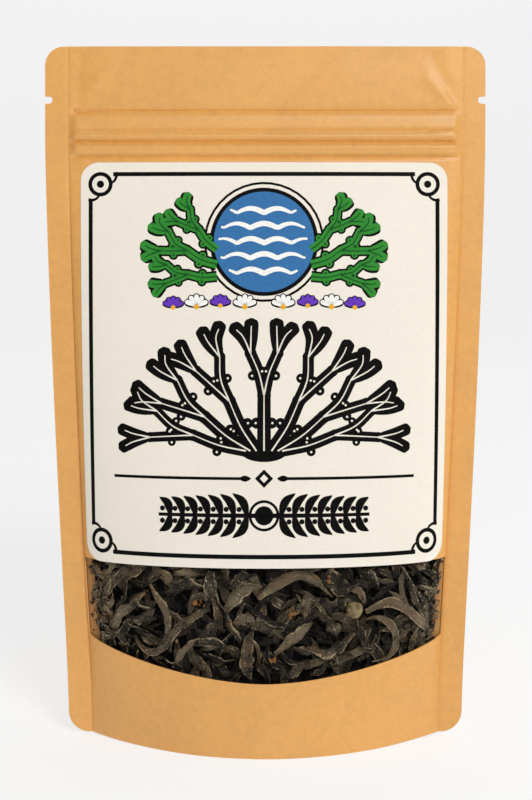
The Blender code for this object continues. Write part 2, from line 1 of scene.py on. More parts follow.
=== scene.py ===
"""The looks of a kraft stand-up pouch with a window, filled with dried, cut bladderwrack.

The panels are cut flat, with u across and v up in millimetres, and then formed into the filled
pouch with the same formulas as the solids. Every new piece is a grid of points on that form.
"""

import math

import bpy
import numpy as np
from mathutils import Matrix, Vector


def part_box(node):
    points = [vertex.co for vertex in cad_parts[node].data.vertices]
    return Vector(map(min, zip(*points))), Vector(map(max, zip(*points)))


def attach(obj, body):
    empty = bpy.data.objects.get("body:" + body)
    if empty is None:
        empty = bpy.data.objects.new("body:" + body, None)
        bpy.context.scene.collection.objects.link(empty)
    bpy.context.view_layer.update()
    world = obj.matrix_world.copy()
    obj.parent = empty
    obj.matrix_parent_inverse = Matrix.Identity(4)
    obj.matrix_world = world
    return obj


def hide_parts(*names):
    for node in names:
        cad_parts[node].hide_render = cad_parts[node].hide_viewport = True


bl_info = {
    "name": "Bladderwrack pouch",
    "version": (1, 0, 0),
    "blender": (4, 5, 0),
    "location": "View3D > Sidebar > Pouch",
    "description": "Builds the paper, film, label, print and dried seaweed of a stand-up pouch",
    "category": "Add Mesh",
}

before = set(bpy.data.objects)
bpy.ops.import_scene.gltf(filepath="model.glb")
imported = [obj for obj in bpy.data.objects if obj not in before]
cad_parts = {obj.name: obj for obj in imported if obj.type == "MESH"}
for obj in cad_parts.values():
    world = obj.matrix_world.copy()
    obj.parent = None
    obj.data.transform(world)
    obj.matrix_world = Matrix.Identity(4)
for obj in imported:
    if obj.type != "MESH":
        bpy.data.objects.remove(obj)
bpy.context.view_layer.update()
MM = 0.001

# The pouch, laid flat, in millimetres
HALF_WIDTH = round(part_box("back_panel")[1].x / MM, 1)
PANEL_HEIGHT = round(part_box("back_panel")[1].z / MM, 1)
SEAL_WIDTH = 8.0
PANEL_HALF = HALF_WIDTH - SEAL_WIDTH
TOP_CORNER_RADIUS = 6.5
BOTTOM_CORNER_RADIUS = 7.0
CORNER_LIFT = 0.8
EDGE_FLAT_HALF_LENGTH = 20.0
EDGE_CLEARANCE = 0.03
NOTCH_BELOW_TOP = 18.2
NOTCH_DEPTH = 2.5
NOTCH_HEIGHT = 2.6
SHEET = 0.4
SEAL_GAP = 0.3

# The filled form
BULGE_RATE = 0.4025
BULGE_POWER = 0.77
BULGE_TOP = 203.6
BULGE_TOP_BLEND = 1.2
RIM_HEIGHT = 12.0
RIM_BLEND = 8.0
CLOSED_DEPTH = 0.3
SECTION_POWER = 0.55
BASE_SECTION_HEIGHT = 55.0
SECTION_SAMPLES = 96

# The zip, the window, the label and the gusset
ZIP_BAND = (197.2, 212.4)
ZIP_BAND_BLEND = 1.6
ZIP_BAND_EDGE = 3.0
ZIP_BAND_RELIEF = 1.3
ZIP_BAND_SLOPE = (206.6, 212.0, 0.5)
SEAM_CREASE = (0.2, 0.14, 0.45)
WINDOW_HALF_WIDTH = 65.9
WINDOW_TOP = 61.2
WINDOW_LOW = 24.0
WINDOW_SIDE_RISE = 11.0
WINDOW_CURVE_POWER = 1.7
LABEL_HALF_WIDTH = 62.3
LABEL_OFFSET = -0.4
LABEL_RISE = (61.0, 195.1)
LABEL_CORNER_RADIUS = 6.2
LABEL_GAP = 0.02
GUSSET_SEAL = (5.0, 31.0, 2.5)
GUSSET_FOLD_HIGH = 27.0
GUSSET_FLAT_HALF_LENGTH = 22.0
GUSSET_FLAT_SHARE = 0.5
GUSSET_HALF_LENGTH = 57.0
GUSSET_FOLD_POWER = 1.7
GUSSET_RISE_POWER = 2.2
GUSSET_GAP = 0.4
FILL_TOP = 150.0


def rgb(red, green, blue):
    """A colour in 0-255 steps of a screen, as the linear values that a shader takes."""
    shares = np.array([red, green, blue]) / 255
    return tuple(np.where(shares <= 0.04045, shares / 12.92, ((shares + 0.055) / 1.055) ** 2.4))


# Form


def soft_ramp(value, width):
    """Zero below 0 and the value above it: width times the log of 1 plus e to value/width."""
    return width * np.logaddexp(0.0, value / width)


def smooth(value):
    """0 below 0, 1 above 1, and 3t^2 - 2t^3 between them."""
    t = np.clip(value, 0.0, 1.0)
    return t * t * (3 - 2 * t)


def bulge_depth(v):
    """How far a panel's middle stands out at v: a power of the run below the zip, less near the rim."""
    run = soft_ramp(BULGE_TOP - v, BULGE_TOP_BLEND) - soft_ramp(RIM_HEIGHT - v, RIM_BLEND)
    return np.hypot(CLOSED_DEPTH, BULGE_RATE * np.maximum(run, 0.0) ** BULGE_POWER)


def section_power(v):
    """Power of the section's curve: steep at the seams, and a plain lens at the base."""
    return SECTION_POWER + (1 - SECTION_POWER) * smooth((BASE_SECTION_HEIGHT - v) / BASE_SECTION_HEIGHT)


def section_arc(depth, chord, power):
    """x and running length of half a section, depth * (1 - share^2)^power, from its middle to a seam."""
    share = np.sin(np.linspace(0, math.pi / 2, SECTION_SAMPLES + 1))
    x = chord[..., None] * share
    y = depth[..., None] * np.maximum(1 - share**2, 0.0) ** power[..., None]
    step = np.hypot(np.diff(x), np.diff(y))
    return x, np.concatenate([np.zeros_like(step[..., :1]), np.cumsum(step, axis=-1)], axis=-1)


def chord_table(count):
    """Half the width between the seams at each whole depth, by halving, so that the arc keeps its length."""
    depth = np.arange(float(count))
    low, high = np.full(count, PANEL_HALF * 0.7), np.full(count, PANEL_HALF)
    for _ in range(30):
        middle = (low + high) / 2
        longer = section_arc(depth, middle, np.full(count, SECTION_POWER))[1][:, -1] > PANEL_HALF
        low, high = np.where(longer, low, middle), np.where(longer, middle, high)
    return (low + high) / 2


CHORDS = chord_table(28)


def half_chord(depth):
    """Half the width between the seams once a panel bulges by depth."""
    return np.interp(depth, np.arange(len(CHORDS)), CHORDS)


def across_table(heights, shares):
    """x at every height and every share of the half panel's arc."""
    depth = bulge_depth(heights)
    x, length = section_arc(depth, half_chord(depth), section_power(heights))
    return np.array([np.interp(shares * run[-1], run, row) for row, run in zip(x, length)])


HEIGHT_STEP = 0.5
HEIGHTS = np.arange(-4.0, 240.1, HEIGHT_STEP)
SHARES = np.linspace(0.0, 1.0, 401)
ACROSS = across_table(HEIGHTS, SHARES)


def across(u, v):
    """The formed x of the flat point (u, v): the table between its lines, and straight on past the seam."""
    flat = np.abs(u)
    row = np.clip((v - HEIGHTS[0]) / HEIGHT_STEP, 0, len(HEIGHTS) - 1.001)
    column = np.clip(flat / PANEL_HALF * (len(SHARES) - 1), 0, len(SHARES) - 1.001)
    i, j = row.astype(int), column.astype(int)
    a, b = row - i, column - j
    inner = (1 - a) * ((1 - b) * ACROSS[i, j] + b * ACROSS[i, j + 1])
    inner += a * ((1 - b) * ACROSS[i + 1, j] + b * ACROSS[i + 1, j + 1])
    outer = half_chord(bulge_depth(v)) + flat - PANEL_HALF
    return np.copysign(np.where(flat < PANEL_HALF, inner, outer), u)


# Ridges and grooves over the closed zip: the height of each, how far it stands out, and its width
ZIP_RIDGES = (
    (204.2, 0.65, 0.85),
    (200.3, 0.65, 0.85),
    (202.3, -0.75, 0.5),
    (206.4, -0.45, 0.45),
    (212.9, -0.6, 0.45),
    (196.9, -0.5, 0.5),
)


def zip_relief(v):
    """How far the closed zip pushes the paper out: a band that slopes off upwards, and bell-shaped ridges."""
    band = smooth((ZIP_BAND[1] - v) / ZIP_BAND_BLEND) * smooth((v - ZIP_BAND[0]) / ZIP_BAND_BLEND)
    low, high, lost = ZIP_BAND_SLOPE
    band = band * (1 - lost * np.clip((v - low) / (high - low), 0, 1))
    return ZIP_BAND_RELIEF * band + sum(h * np.exp(-(((v - at) / w) ** 2)) for at, h, w in ZIP_RIDGES)


def half_depth(x, v):
    """Distance from the pouch's middle plane to the middle of the paper at (x, v)."""
    depth = bulge_depth(v)
    chord = half_chord(depth)
    share = np.minimum(np.abs(x) / chord, 1.0)
    relief = zip_relief(v) * smooth((chord - np.abs(x)) / ZIP_BAND_EDGE)
    return (SEAL_GAP + SHEET) / 2 + relief + depth * (1 - share**2) ** section_power(v)


# Soft folds of the paper: both ends as (u, v), how far it stands out, and its width
FOLDS = (
    ((67.0, 211.5), (55.5, 223.5), 0.8, 2.0),
    ((64.0, 217.5), (57.0, 231.0), -0.5, 2.2),
    ((67.0, 213.0), (59.0, 215.0), 0.4, 1.2),
    ((66.5, 205.8), (57.0, 205.0), 0.4, 0.9),
    ((66.5, 201.5), (58.5, 202.3), -0.3, 0.8),
    ((66.5, 196.5), (57.0, 199.0), 0.45, 1.0),
    ((66.0, 190.0), (63.5, 170.0), 0.16, 1.6),
    ((-66.0, 212.0), (-52.0, 217.0), -0.7, 2.4),
    ((-65.0, 215.0), (-63.5, 232.0), -0.9, 3.0),
    ((-58.0, 221.0), (-51.0, 232.0), 0.35, 2.2),
    ((-67.0, 207.5), (-59.0, 205.4), 0.45, 1.0),
    ((-67.0, 202.0), (-59.5, 203.0), -0.35, 0.8),
    ((-67.0, 198.0), (-58.0, 192.5), 0.5, 1.6),
    ((-66.0, 188.0), (-64.0, 160.0), 0.14, 1.5),
    ((-3.0, 3.0), (-1.5, 21.0), 0.12, 3.0),
    ((-58.0, 6.0), (-46.0, 22.0), 0.18, 4.0),
    ((59.0, 6.0), (47.0, 24.0), 0.18, 4.0),
    ((-30.0, 233.0), (-22.0, 214.0), 0.12, 5.0),
    ((24.0, 233.0), (33.0, 215.0), 0.14, 5.0),
)


FOLD_FADE = 0.55


def fold_relief(u, v):
    """The soft folds together: each is a bell across its line, and fades from the line's start to its end."""
    total = np.zeros(np.broadcast(u, v).shape)
    for start, end, height, width in FOLDS:
        run = np.subtract(end, start)
        share = ((u - start[0]) * run[0] + (v - start[1]) * run[1]) / (run @ run)
        nearest = np.clip(share, 0, 1)
        gap = np.hypot(u - start[0] - nearest * run[0], v - start[1] - nearest * run[1])
        total += height * np.exp(-((gap / width) ** 2)) * (1 - FOLD_FADE * nearest)
    return total


# The paper's unevenness: how it dies out at the seams, the header's swelling with the heights and runs in
# which it begins and slackens, the waves, and how much of all this the label presses flat
SEAM_FADE = 6.0
HEADER_SWELL = 0.55
HEADER_BEGINS = (211.0, 5.0)
HEADER_SLACKENS = (222.0, 12.0, 0.5)
WAVE_HEIGHT = 0.10
SEAM_WAVE_HEIGHT = 0.07
SEAM_WAVE_FROM = 56.0
LABEL_FLATTENING = 0.85
LABEL_BLEND = 3.0


def paper_relief(u, v):
    """Unevenness of the paper: a swollen header, products of slow sine waves, folds and the seams' creases.

    All but the creases die out towards the seams, and the waves and folds are weak under the label.
    """
    edge = smooth((PANEL_HALF - np.abs(u)) / SEAM_FADE)
    begins, slackens = [smooth((v - start) / run) for start, run in (HEADER_BEGINS, HEADER_SLACKENS[:2])]
    header = begins * (1 - HEADER_SLACKENS[2] * slackens)
    waves = np.sin(u / 9.1 + v / 31.0 + 0.8) * np.sin(v / 12.7 - u / 40.0)
    waves += 0.6 * np.sin(u / 5.3 - v / 17.0) * np.sin(v / 23.0 + 1.9)
    near_seam = smooth((np.abs(u) - SEAM_WAVE_FROM) / SEAM_FADE)
    near_seam = near_seam * np.sin(v / 5.2 + 1.3 * np.sin(v / 14.0) + np.sign(u))
    on_label = smooth((LABEL_HALF_WIDTH + 1.5 - np.abs(u - LABEL_OFFSET)) / LABEL_BLEND)
    on_label = on_label * smooth((v - LABEL_RISE[0] + 1.0) / LABEL_BLEND)
    on_label = on_label * smooth((LABEL_RISE[1] + 1.0 - v) / LABEL_BLEND)
    rough = WAVE_HEIGHT * waves + SEAM_WAVE_HEIGHT * near_seam + fold_relief(u, v)
    outside, deep, width = SEAM_CREASE
    crease = deep * np.exp(-(((np.abs(u) - PANEL_HALF - outside) / width) ** 2))
    return edge * (HEADER_SWELL * header + rough * (1 - LABEL_FLATTENING * on_label)) - crease


def paper_point(u, v):
    """(x, y, z) of the middle of the front paper at the flat point (u, v)."""
    u, v = np.broadcast_arrays(np.asarray(u, float), np.asarray(v, float))
    x = across(u, v)
    return np.stack([x, -half_depth(x, v) - paper_relief(u, v), v], axis=-1)


def front_point(u, v, outward=0.0, step=0.15):
    """The paper's point moved along its normal, which is the cross product of its two slopes."""
    u, v = np.broadcast_arrays(np.asarray(u, float), np.asarray(v, float))
    right = paper_point(u + step, v) - paper_point(u - step, v)
    up = paper_point(u, v + step) - paper_point(u, v - step)
    normal = np.cross(right, up)
    normal /= np.linalg.norm(normal, axis=-1, keepdims=True)
    return paper_point(u, v) + normal * np.asarray(outward)[..., None]


def fill_point(u, v, depth):
    """A point at a depth behind the front paper, along the normal of a plain lens, which can't fold over."""
    x = across(u, v)
    bulge = bulge_depth(v)
    lean = 2 * bulge * x / half_chord(bulge) ** 2
    inward = np.stack([-lean, np.ones_like(x), np.zeros_like(x)], axis=-1)
    inward /= np.linalg.norm(inward, axis=-1, keepdims=True)
    surface = np.stack([x, -half_depth(x, v), v], axis=-1)
    return surface + inward * (SHEET / 2 + depth)[..., None]


def bottom_edge(u):
    """Height of the panel's lower edge: on the floor in the middle and lifted at the seals."""
    share = np.clip((np.abs(u) - EDGE_FLAT_HALF_LENGTH) / (PANEL_HALF - EDGE_FLAT_HALF_LENGTH), 0.0, 1.0)
    return EDGE_CLEARANCE + CORNER_LIFT * share**2


def window_low(u):
    """Height of the window's lower edge at u."""
    return WINDOW_LOW + WINDOW_SIDE_RISE * (np.abs(u) / PANEL_HALF) ** WINDOW_CURVE_POWER


# Meshes


def grid_faces(rows, columns, wrap=False):
    """Four-cornered faces of a grid of points, joined round in its second direction if it wraps."""
    i, j = np.meshgrid(np.arange(rows - 1), np.arange(columns if wrap else columns - 1), indexing="ij")
    k = (j + 1) % columns
    corners = [i * columns + j, i * columns + k, (i + 1) * columns + k, (i + 1) * columns + j]
    return np.stack(corners, axis=-1).reshape(-1, 4)


def closed_sheet(outer, inner, faces):
    """Points and faces of two copies of a surface, with a wall along every edge that only one face has."""
    count = len(outer)
    edges = np.concatenate([faces[:, [k, (k + 1) % 4]] for k in range(4)])
    code = edges.min(1) * count + edges.max(1)
    _, place, seen = np.unique(code, return_inverse=True, return_counts=True)
    rim = edges[seen[place] == 1]
    walls = np.stack([rim[:, 1], rim[:, 0], rim[:, 0] + count, rim[:, 1] + count], axis=1)
    return np.concatenate([outer, inner]), np.concatenate([faces, faces[:, ::-1] + count, walls])


def joined(parts):
    """Many (points, faces) as one, their faces counted on from the points before them."""
    starts = np.cumsum([0] + [len(points) for points, _ in parts[:-1]])
    points = np.concatenate([points for points, _ in parts])
    return points, np.concatenate([faces + start for (_, faces), start in zip(parts, starts)])


def make_piece(name, points, faces, material, slot=None, replaces=(), sharp=40.0, values=None, uv=None):
    """A mesh object from points in millimetres, with its values and uv kept at the points."""
    mesh = bpy.data.meshes.new(name)
    mesh.vertices.add(len(points))
    mesh.vertices.foreach_set("co", (points * MM).astype(np.float32).ravel())
    mesh.loops.add(faces.size)
    mesh.loops.foreach_set("vertex_index", faces.astype(np.int32).ravel())
    mesh.polygons.add(len(faces))
    mesh.polygons.foreach_set("loop_start", np.arange(0, faces.size, faces.shape[1], dtype=np.int32))
    mesh.update(calc_edges=True)
    if uv is not None:
        mesh.uv_layers.new(name="along").data.foreach_set("uv", uv[faces.ravel()].astype(np.float32).ravel())
    for key, value in (values or {}).items():
        mesh.attributes.new(key, "FLOAT", "POINT").data.foreach_set("value", value.astype(np.float32))
    if mesh.validate():
        raise RuntimeError(f"{name} has faces that don't fit together")
    mesh.shade_smooth()
    mesh.set_sharp_from_angle(angle=math.radians(sharp))
    mesh.materials.append(material)
    made = bpy.data.objects.new(name, mesh)
    bpy.context.scene.collection.objects.link(made)
    if slot:
        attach(made, "root")
    if replaces:
        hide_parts(*replaces)
    return made


# Shader maths


class Value:
    """A socket of a material, on which Python's operators add Math nodes."""

    def __init__(self, finish, socket):
        self.finish = finish
        self.socket = socket

    def maths(self, operation, first, second):
        return self.finish.node("ShaderNodeMath", {"operation": operation}, {0: first, 1: second})

    def __add__(self, other):
        return self.maths("ADD", self, other)

    def __sub__(self, other):
        return self.maths("SUBTRACT", self, other)

    def __rsub__(self, other):
        return self.maths("SUBTRACT", other, self)

    def __mul__(self, other):
        return self.maths("MULTIPLY", self, other)

    def __pow__(self, other):
        return self.maths("POWER", self, other)

    __radd__ = __add__
    __rmul__ = __mul__


class Finish:
    """A material being drawn up: its Principled shader and the nodes that feed it."""

    def __init__(self, name, **constants):
        self.material = bpy.data.materials.new(name)
        self.material.use_nodes = True
        self.tree = self.material.node_tree
        self.shader = self.tree.nodes["Principled BSDF"]
        for key, value in constants.items():
            self.shader.inputs[key.replace("_", " ")].default_value = value

    def node(self, kind, settings=None, inputs=None, output=0):
        """Adds a node: its settings first, then the values or links of its sockets."""
        made = self.tree.nodes.new(kind)
        for key, value in (settings or {}).items():
            setattr(made, key, value)
        for key, value in (inputs or {}).items():
            if isinstance(value, Value):
                self.tree.links.new(value.socket, made.inputs[key])
            else:
                made.inputs[key].default_value = value
        return Value(self, made.outputs[output])

    def place(self):
        """Object coordinates, in metres."""
        return self.node("ShaderNodeTexCoord", output="Object")

    def stretched(self, vector, scale):
        """A vector with each axis scaled, so that a pattern runs finer or longer along it."""
        return self.node("ShaderNodeVectorMath", {"operation": "MULTIPLY"}, {0: vector, 1: scale})

    def noise(self, vector, scale, detail=3.0, roughness=0.55, distortion=0.0):
        """Fractal noise from 0 to 1 with about scale features a metre."""
        inputs = {"Vector": vector, "Scale": scale, "Detail": detail, "Roughness": roughness}
        return self.node("ShaderNodeTexNoise", None, inputs | {"Distortion": distortion})

    def cells(self, vector, scale):
        """Distance to the nearest of scattered points, about scale of them a metre."""
        return self.node("ShaderNodeTexVoronoi", None, {"Vector": vector, "Scale": scale})

    def between(self, value, low, high):
        """0 below low, 1 above high, smooth between them."""
        settings = {"interpolation_type": "SMOOTHSTEP"}
        return self.node("ShaderNodeMapRange", settings, {"Value": value, "From Min": low, "From Max": high})

    def attribute(self, name):
        """A number kept at the mesh's points."""
        return self.node("ShaderNodeAttribute", {"attribute_name": name}, output="Fac")

    def mixed(self, factor, first, second):
        """Two colours mixed by a factor."""
        sockets = [value if isinstance(value, Value) else (*value, 1.0) for value in (first, second)]
        inputs = {0: factor, 6: sockets[0], 7: sockets[1]}
        return self.node("ShaderNodeMix", {"data_type": "RGBA"}, inputs, 2)

    def feed(self, **sockets):
        """Links values to the shader's own sockets."""
        for key, value in sockets.items():
            self.tree.links.new(value.socket, self.shader.inputs[key.replace("_", " ")])
        return self.material

    def bumped(self, height, distance, strength):
        """A normal from a height, where height 1 stands distance metres out."""
        inputs = {"Strength": strength, "Distance": distance, "Height": height}
        return self.node("ShaderNodeBump", None, inputs)


def toned(colour, factor):
    """A colour times a factor, each part at most 1."""
    return tuple(min(part * factor, 1.0) for part in colour)


def kraft_paper(look):
    """Unbleached kraft: clouded tan with fibres, dark flecks, a felted surface and painted shade inside the
    pouch.
    """
    made = Finish("kraft_paper", Roughness=0.5, Specular_IOR_Level=0.75)
    place = made.place()
    clouds = made.noise(place, 38.0, 3.0, 0.6)
    mottle = made.noise(place, 420.0, 4.0, 0.6, 0.3)
    fine = made.noise(place, 1900.0, 3.0, 0.6)
    fibre = made.between(made.noise(made.stretched(place, (0.4, 1.0, 1.0)), 1100.0, 2.0, 0.5, 1.2), 0.6, 0.8)
    tone = 0.3 * clouds + 0.4 * mottle + 0.3 * fine
    dark, light = [toned(look.kraft_colour, 1 + way * look.kraft_mottle) for way in (-1, 1)]
    colour = made.mixed(made.between(tone, 0.36, 0.64), dark, light)
    colour = made.mixed(0.16 * fibre, colour, rgb(196, 128, 58))
    fleck = 1 - made.between(made.cells(place, 300.0), 0.05, 0.12)
    fleck = fleck * made.between(made.noise(place, 90.0), 0.5, 0.62)
    colour = made.mixed(0.28 * fleck, colour, rgb(138, 88, 40))
    # Painted shade: the attribute inside darkens the paper seen inside the pouch towards a deeper brown.
    inside = made.attribute("inside")
    colour = made.mixed(inside, colour, rgb(142, 96, 46))
    height = 0.6 * mottle + 0.3 * fine + 0.1 * fibre
    rough = 0.36 + 0.22 * mottle + 0.4 * inside
    return made.feed(Base_Color=colour, Roughness=rough, Normal=made.bumped(height, 0.00012, look.paper_bump))


def label_paper(look):
    """Matt coated label stock: cream with a faint grain."""
    made = Finish("label_paper", Roughness=0.5, Specular_IOR_Level=0.2)
    place = made.place()
    grain = made.noise(place, 700.0, 4.0, 0.6)
    clouds = made.noise(place, 30.0, 2.0)
    tone = made.between(0.6 * grain + 0.4 * clouds, 0.3, 0.7)
    colour = made.mixed(tone, toned(look.label_colour, 0.97), toned(look.label_colour, 1.02))
    normal = made.bumped(grain, 0.00003, 0.5)
    return made.feed(Base_Color=colour, Roughness=0.44 + 0.14 * grain, Normal=normal)


def ink(name, colour):
    """Printed ink: nearly flat, with the paper's grain just showing through."""
    made = Finish(name, Roughness=0.5, Specular_IOR_Level=0.06)
    grain = made.noise(made.place(), 900.0, 3.0)
    thin = tuple(part * 0.86 + 0.004 for part in colour)
    mottled = made.mixed(made.between(grain, 0.35, 0.75), colour, thin)
    return made.feed(Base_Color=mottled, Roughness=0.45 + 0.15 * grain)


def clear_film(look):
    """Clear film: almost all is let through, and more is mirrored where it is seen at a low angle."""
    made = Finish("clear_film", Base_Color=(0.03, 0.03, 0.03, 1.0), Roughness=0.1)
    edge_on = made.node("ShaderNodeLayerWeight", None, {"Blend": 0.25}, "Facing")
    wavy = made.noise(made.place(), 60.0, 2.0)
    return made.feed(Alpha=look.film_haze + 0.05 * edge_on**2.5, Normal=made.bumped(wavy, 0.0008, 0.5))


def zip_plastic():
    """Milky polyethylene with fine drawn lines along the track."""
    made = Finish("zip_plastic", Roughness=0.35, Alpha=0.75)
    lines = made.noise(made.stretched(made.place(), (0.05, 1.0, 1.0)), 2500.0, 2.0)
    colour = made.mixed(lines, rgb(214, 212, 204), rgb(238, 237, 232))
    return made.feed(Base_Color=colour, Roughness=0.28 + 0.2 * lines, Normal=made.bumped(lines, 0.00004, 0.5))


def dried_thallus(look):
    """Dried thallus: streaked olive-brown leather, salt, rusty cuts, painted rim highlights, and painted
    shade deep in.
    """
    made = Finish("dried_bladderwrack", Roughness=0.6, Specular_IOR_Level=0.2)
    place = made.place()
    along = made.node("ShaderNodeUVMap", {"uv_map": "along"})
    tone, edge, tip, deep = [made.attribute(name) for name in ("tone", "edge", "tip", "deep")]
    streak = made.noise(made.stretched(along, (0.3, 2.2, 1.0)), 1.0, 4.0, 0.6)
    patch = made.noise(place, 260.0, 3.0, 0.6)
    fine = made.noise(place, 1700.0, 3.0, 0.7)
    light = made.between(0.22 * streak + 0.22 * patch + 0.36 * fine + 0.2 * tone, 0.42, 0.65)
    colour = made.mixed(light, look.frond_dark, look.frond_light)
    warm = made.between(made.noise(place, 120.0, 2.0) + 0.16 * tone, 0.56, 0.7)
    colour = made.mixed(0.6 * warm * made.between(patch, 0.36, 0.62), colour, rgb(92, 66, 38))
    rust = made.between(tip + 0.35 * patch, 1.06, 1.22) * made.between(tone, 0.7, 0.85)
    colour = made.mixed(0.7 * rust, colour, look.rust_colour)
    # Painted highlight: the strips' edges are lightened towards the pale rim colour.
    rim = made.between(edge, 0.7, 0.96) * made.between(0.4 * patch + 0.3 * streak + 0.3 * fine, 0.46, 0.56)
    colour = made.mixed(0.8 * rim, colour, look.rim_highlight_colour)
    salt = (1 - made.between(made.cells(place, 820.0), 0.08, 0.24)) * made.between(patch, 0.48, 0.6)
    colour = made.mixed(look.salt * salt, colour, rgb(222, 214, 196))
    # Painted shade: strips deep behind the film, and the heap's core, turn near black.
    colour = made.mixed(0.94 * made.between(deep, -0.15, 0.6), colour, rgb(6, 5, 3))
    height = 0.35 * streak + 0.4 * fine + 0.25 * patch
    rough = 0.42 + 0.3 * fine + 0.25 * salt
    return made.feed(Base_Color=colour, Roughness=rough, Normal=made.bumped(height, 0.0012, 1.0))


def bladder_skin(look):
    """An air bladder's skin: tight, olive-brown and a little glossy, with pale dust."""
    made = Finish("bladder_skin", Roughness=0.4, Specular_IOR_Level=0.5)
    place = made.place()
    patch, fine = made.noise(place, 330.0, 4.0, 0.6), made.noise(place, 1400.0, 3.0, 0.7)
    colour = made.mixed(made.between(patch, 0.35, 0.65), rgb(82, 66, 38), look.bladder_colour)
    colour = made.mixed(0.5 * made.between(fine, 0.55, 0.75), colour, rgb(170, 158, 126))
    normal = made.bumped(0.6 * patch + 0.4 * fine, 0.0002, 0.7)
    return made.feed(Base_Color=colour, Roughness=0.34 + 0.3 * fine, Normal=normal)


def pale_floor(look):
    """A plain pale ground with hardly any grain."""
    made = Finish("pale_floor", Roughness=0.85, Specular_IOR_Level=0.1, Emission_Strength=look.floor_glow)
    made.shader.inputs["Emission Color"].default_value = (1.0, 1.0, 1.0, 1.0)
    grain = made.noise(made.place(), 2.0, 2.0)
    return made.feed(Base_Color=made.mixed(grain, toned(look.floor_colour, 0.985), look.floor_colour))


# Sizes and colours


def length_setting(default, name, description, low=0.0, high=1000.0):
    """A length in millimetres for the sidebar."""
    return bpy.props.FloatProperty(name=name, description=description, default=default, min=low, max=high)


def colour_setting(default, name, description):
    """A colour for the sidebar."""
    return bpy.props.FloatVectorProperty(
        name=name, description=description, default=default, size=3, subtype="COLOR", min=0.0, max=1.0
    )


def share_setting(default, name, description):
    """A share from 0 to 1 for the sidebar."""
    return bpy.props.FloatProperty(
        name=name, description=description, default=default, min=0.0, max=1.0, subtype="FACTOR"
    )


def power_setting(default, name, description):
    """A lamp's power for the sidebar."""
    return bpy.props.FloatProperty(name=name, description=description, default=default, min=0.0, unit="POWER")


def strength_setting(default, name, description):
    """An even glow's strength for the sidebar."""
    return bpy.props.FloatProperty(name=name, description=description, default=default, min=0.0)


def count_setting(default, name, description, low=0, high=900):
    """A whole number for the sidebar."""
    return bpy.props.IntProperty(name=name, description=description, default=default, min=low, max=high)


class PaperSettings(bpy.types.PropertyGroup):
    """Sizes and colours of the paper, the film and the label."""

    mesh_spacing: length_setting(1.3, "Mesh spacing (mm)", "Between the lines of the paper's mesh", 0.6, 6.0)
    kraft_colour: colour_setting(rgb(222, 162, 82), "Kraft", "Middle tone of the kraft paper")
    kraft_mottle: share_setting(0.07, "Mottle", "How much lighter and darker than the middle tone it gets")
    paper_bump: share_setting(0.4, "Fibre relief", "Strength of the paper's fine relief")
    film_haze: share_setting(0.006, "Film haze", "How much of the film shows when it is seen straight on")
    label_colour: colour_setting(rgb(238, 231, 218), "Label", "The label's paper")
    label_thickness: length_setting(0.25, "Label thickness (mm)", "Thickness of the label", 0.05, 0.6)


class PrintSettings(bpy.types.PropertyGroup):
    """Sizes and colours of the generic print on the label."""

    line_width: length_setting(1.4, "Border line (mm)", "Width of the border line", 0.3, 3.0)
    ink_height: length_setting(0.035, "Ink height (mm)", "How far ink stands off the label", 0.01, 0.2)
    black: colour_setting(rgb(6, 5, 4), "Black", "Lines and black fronds")
    cream: colour_setting(rgb(238, 231, 218), "Cream", "Midribs left open in the black fronds")
    green: colour_setting(rgb(52, 140, 52), "Green", "Coloured fronds")
    dark_green: colour_setting(rgb(22, 88, 34), "Dark green", "Shaded half of the coloured fronds")
    blue: colour_setting(rgb(58, 116, 172), "Blue", "Water")
    violet: colour_setting(rgb(106, 62, 190), "Violet", "Shells")
    white: colour_setting(rgb(250, 250, 246), "White", "Foam")
    yellow: colour_setting(rgb(240, 176, 40), "Yellow", "Dots of the shells")


class FillSettings(bpy.types.PropertyGroup):
    """Numbers, sizes and colours of the dried seaweed."""

    seed: count_setting(7, "Seed", "Start of the scattered strips' random draw")
    strip_count: count_setting(620, "Scattered strips", "Strips behind the ones placed by hand", 20)
    crumb_count: count_setting(110, "Crumbs", "Small broken bits, most of them at the window's sides")
    thickness: length_setting(0.55, "Blade thickness (mm)", "Thickness of a strip", 0.2, 1.5)
    bladder_diameter: length_setting(6.1, "Bladder (mm)", "Diameter of the round air bladder", 3.0, 10.0)
    frond_dark: colour_setting(rgb(17, 14, 10), "Dark frond", "Darkest tone of the thallus")
    frond_light: colour_setting(rgb(132, 117, 92), "Light frond", "Lightest tone of the thallus")
    # Painted highlight on the strips' edges.
    rim_highlight_colour: colour_setting(rgb(186, 168, 132), "Pale rims", "Dried edges of the strips")
    rust_colour: colour_setting(rgb(160, 104, 40), "Rust", "Orange-brown of cut tips")
    bladder_colour: colour_setting(rgb(152, 134, 92), "Bladder", "Light tone of the bladder")
    salt: share_setting(0.85, "Salt", "How clearly the salt specks show")


class StageSettings(bpy.types.PropertyGroup):
    """The camera, the lights and the ground."""

    camera_distance: length_setting(450.0, "Camera distance (mm)", "From the pouch's middle", 200.0, 3000.0)
    camera_height: length_setting(164.9, "Camera height (mm)", "Above the floor", 0.0, 1000.0)
    camera_tilt: bpy.props.FloatProperty(
        name="Camera tilt", description="How far the camera looks down", default=0.009, subtype="ANGLE"
    )
    lens: length_setting(59.32, "Lens (mm)", "Focal length on a 36 mm wide sensor", 10.0, 300.0)
    key_power: power_setting(13.6, "Key light", "Soft light from the upper right")
    side_power: power_setting(3.2, "Side light", "Grazing light from the right")
    fill_power: power_setting(0.5, "Fill light", "Weak light from the left")
    sky_strength: strength_setting(0.26, "Sky", "Strength of the white surroundings")
    floor_glow: strength_setting(0.69, "Floor glow", "Even light from the ground")
    floor_colour: colour_setting((0.34, 0.34, 0.34), "Floor", "Colour of the ground")


# Paper


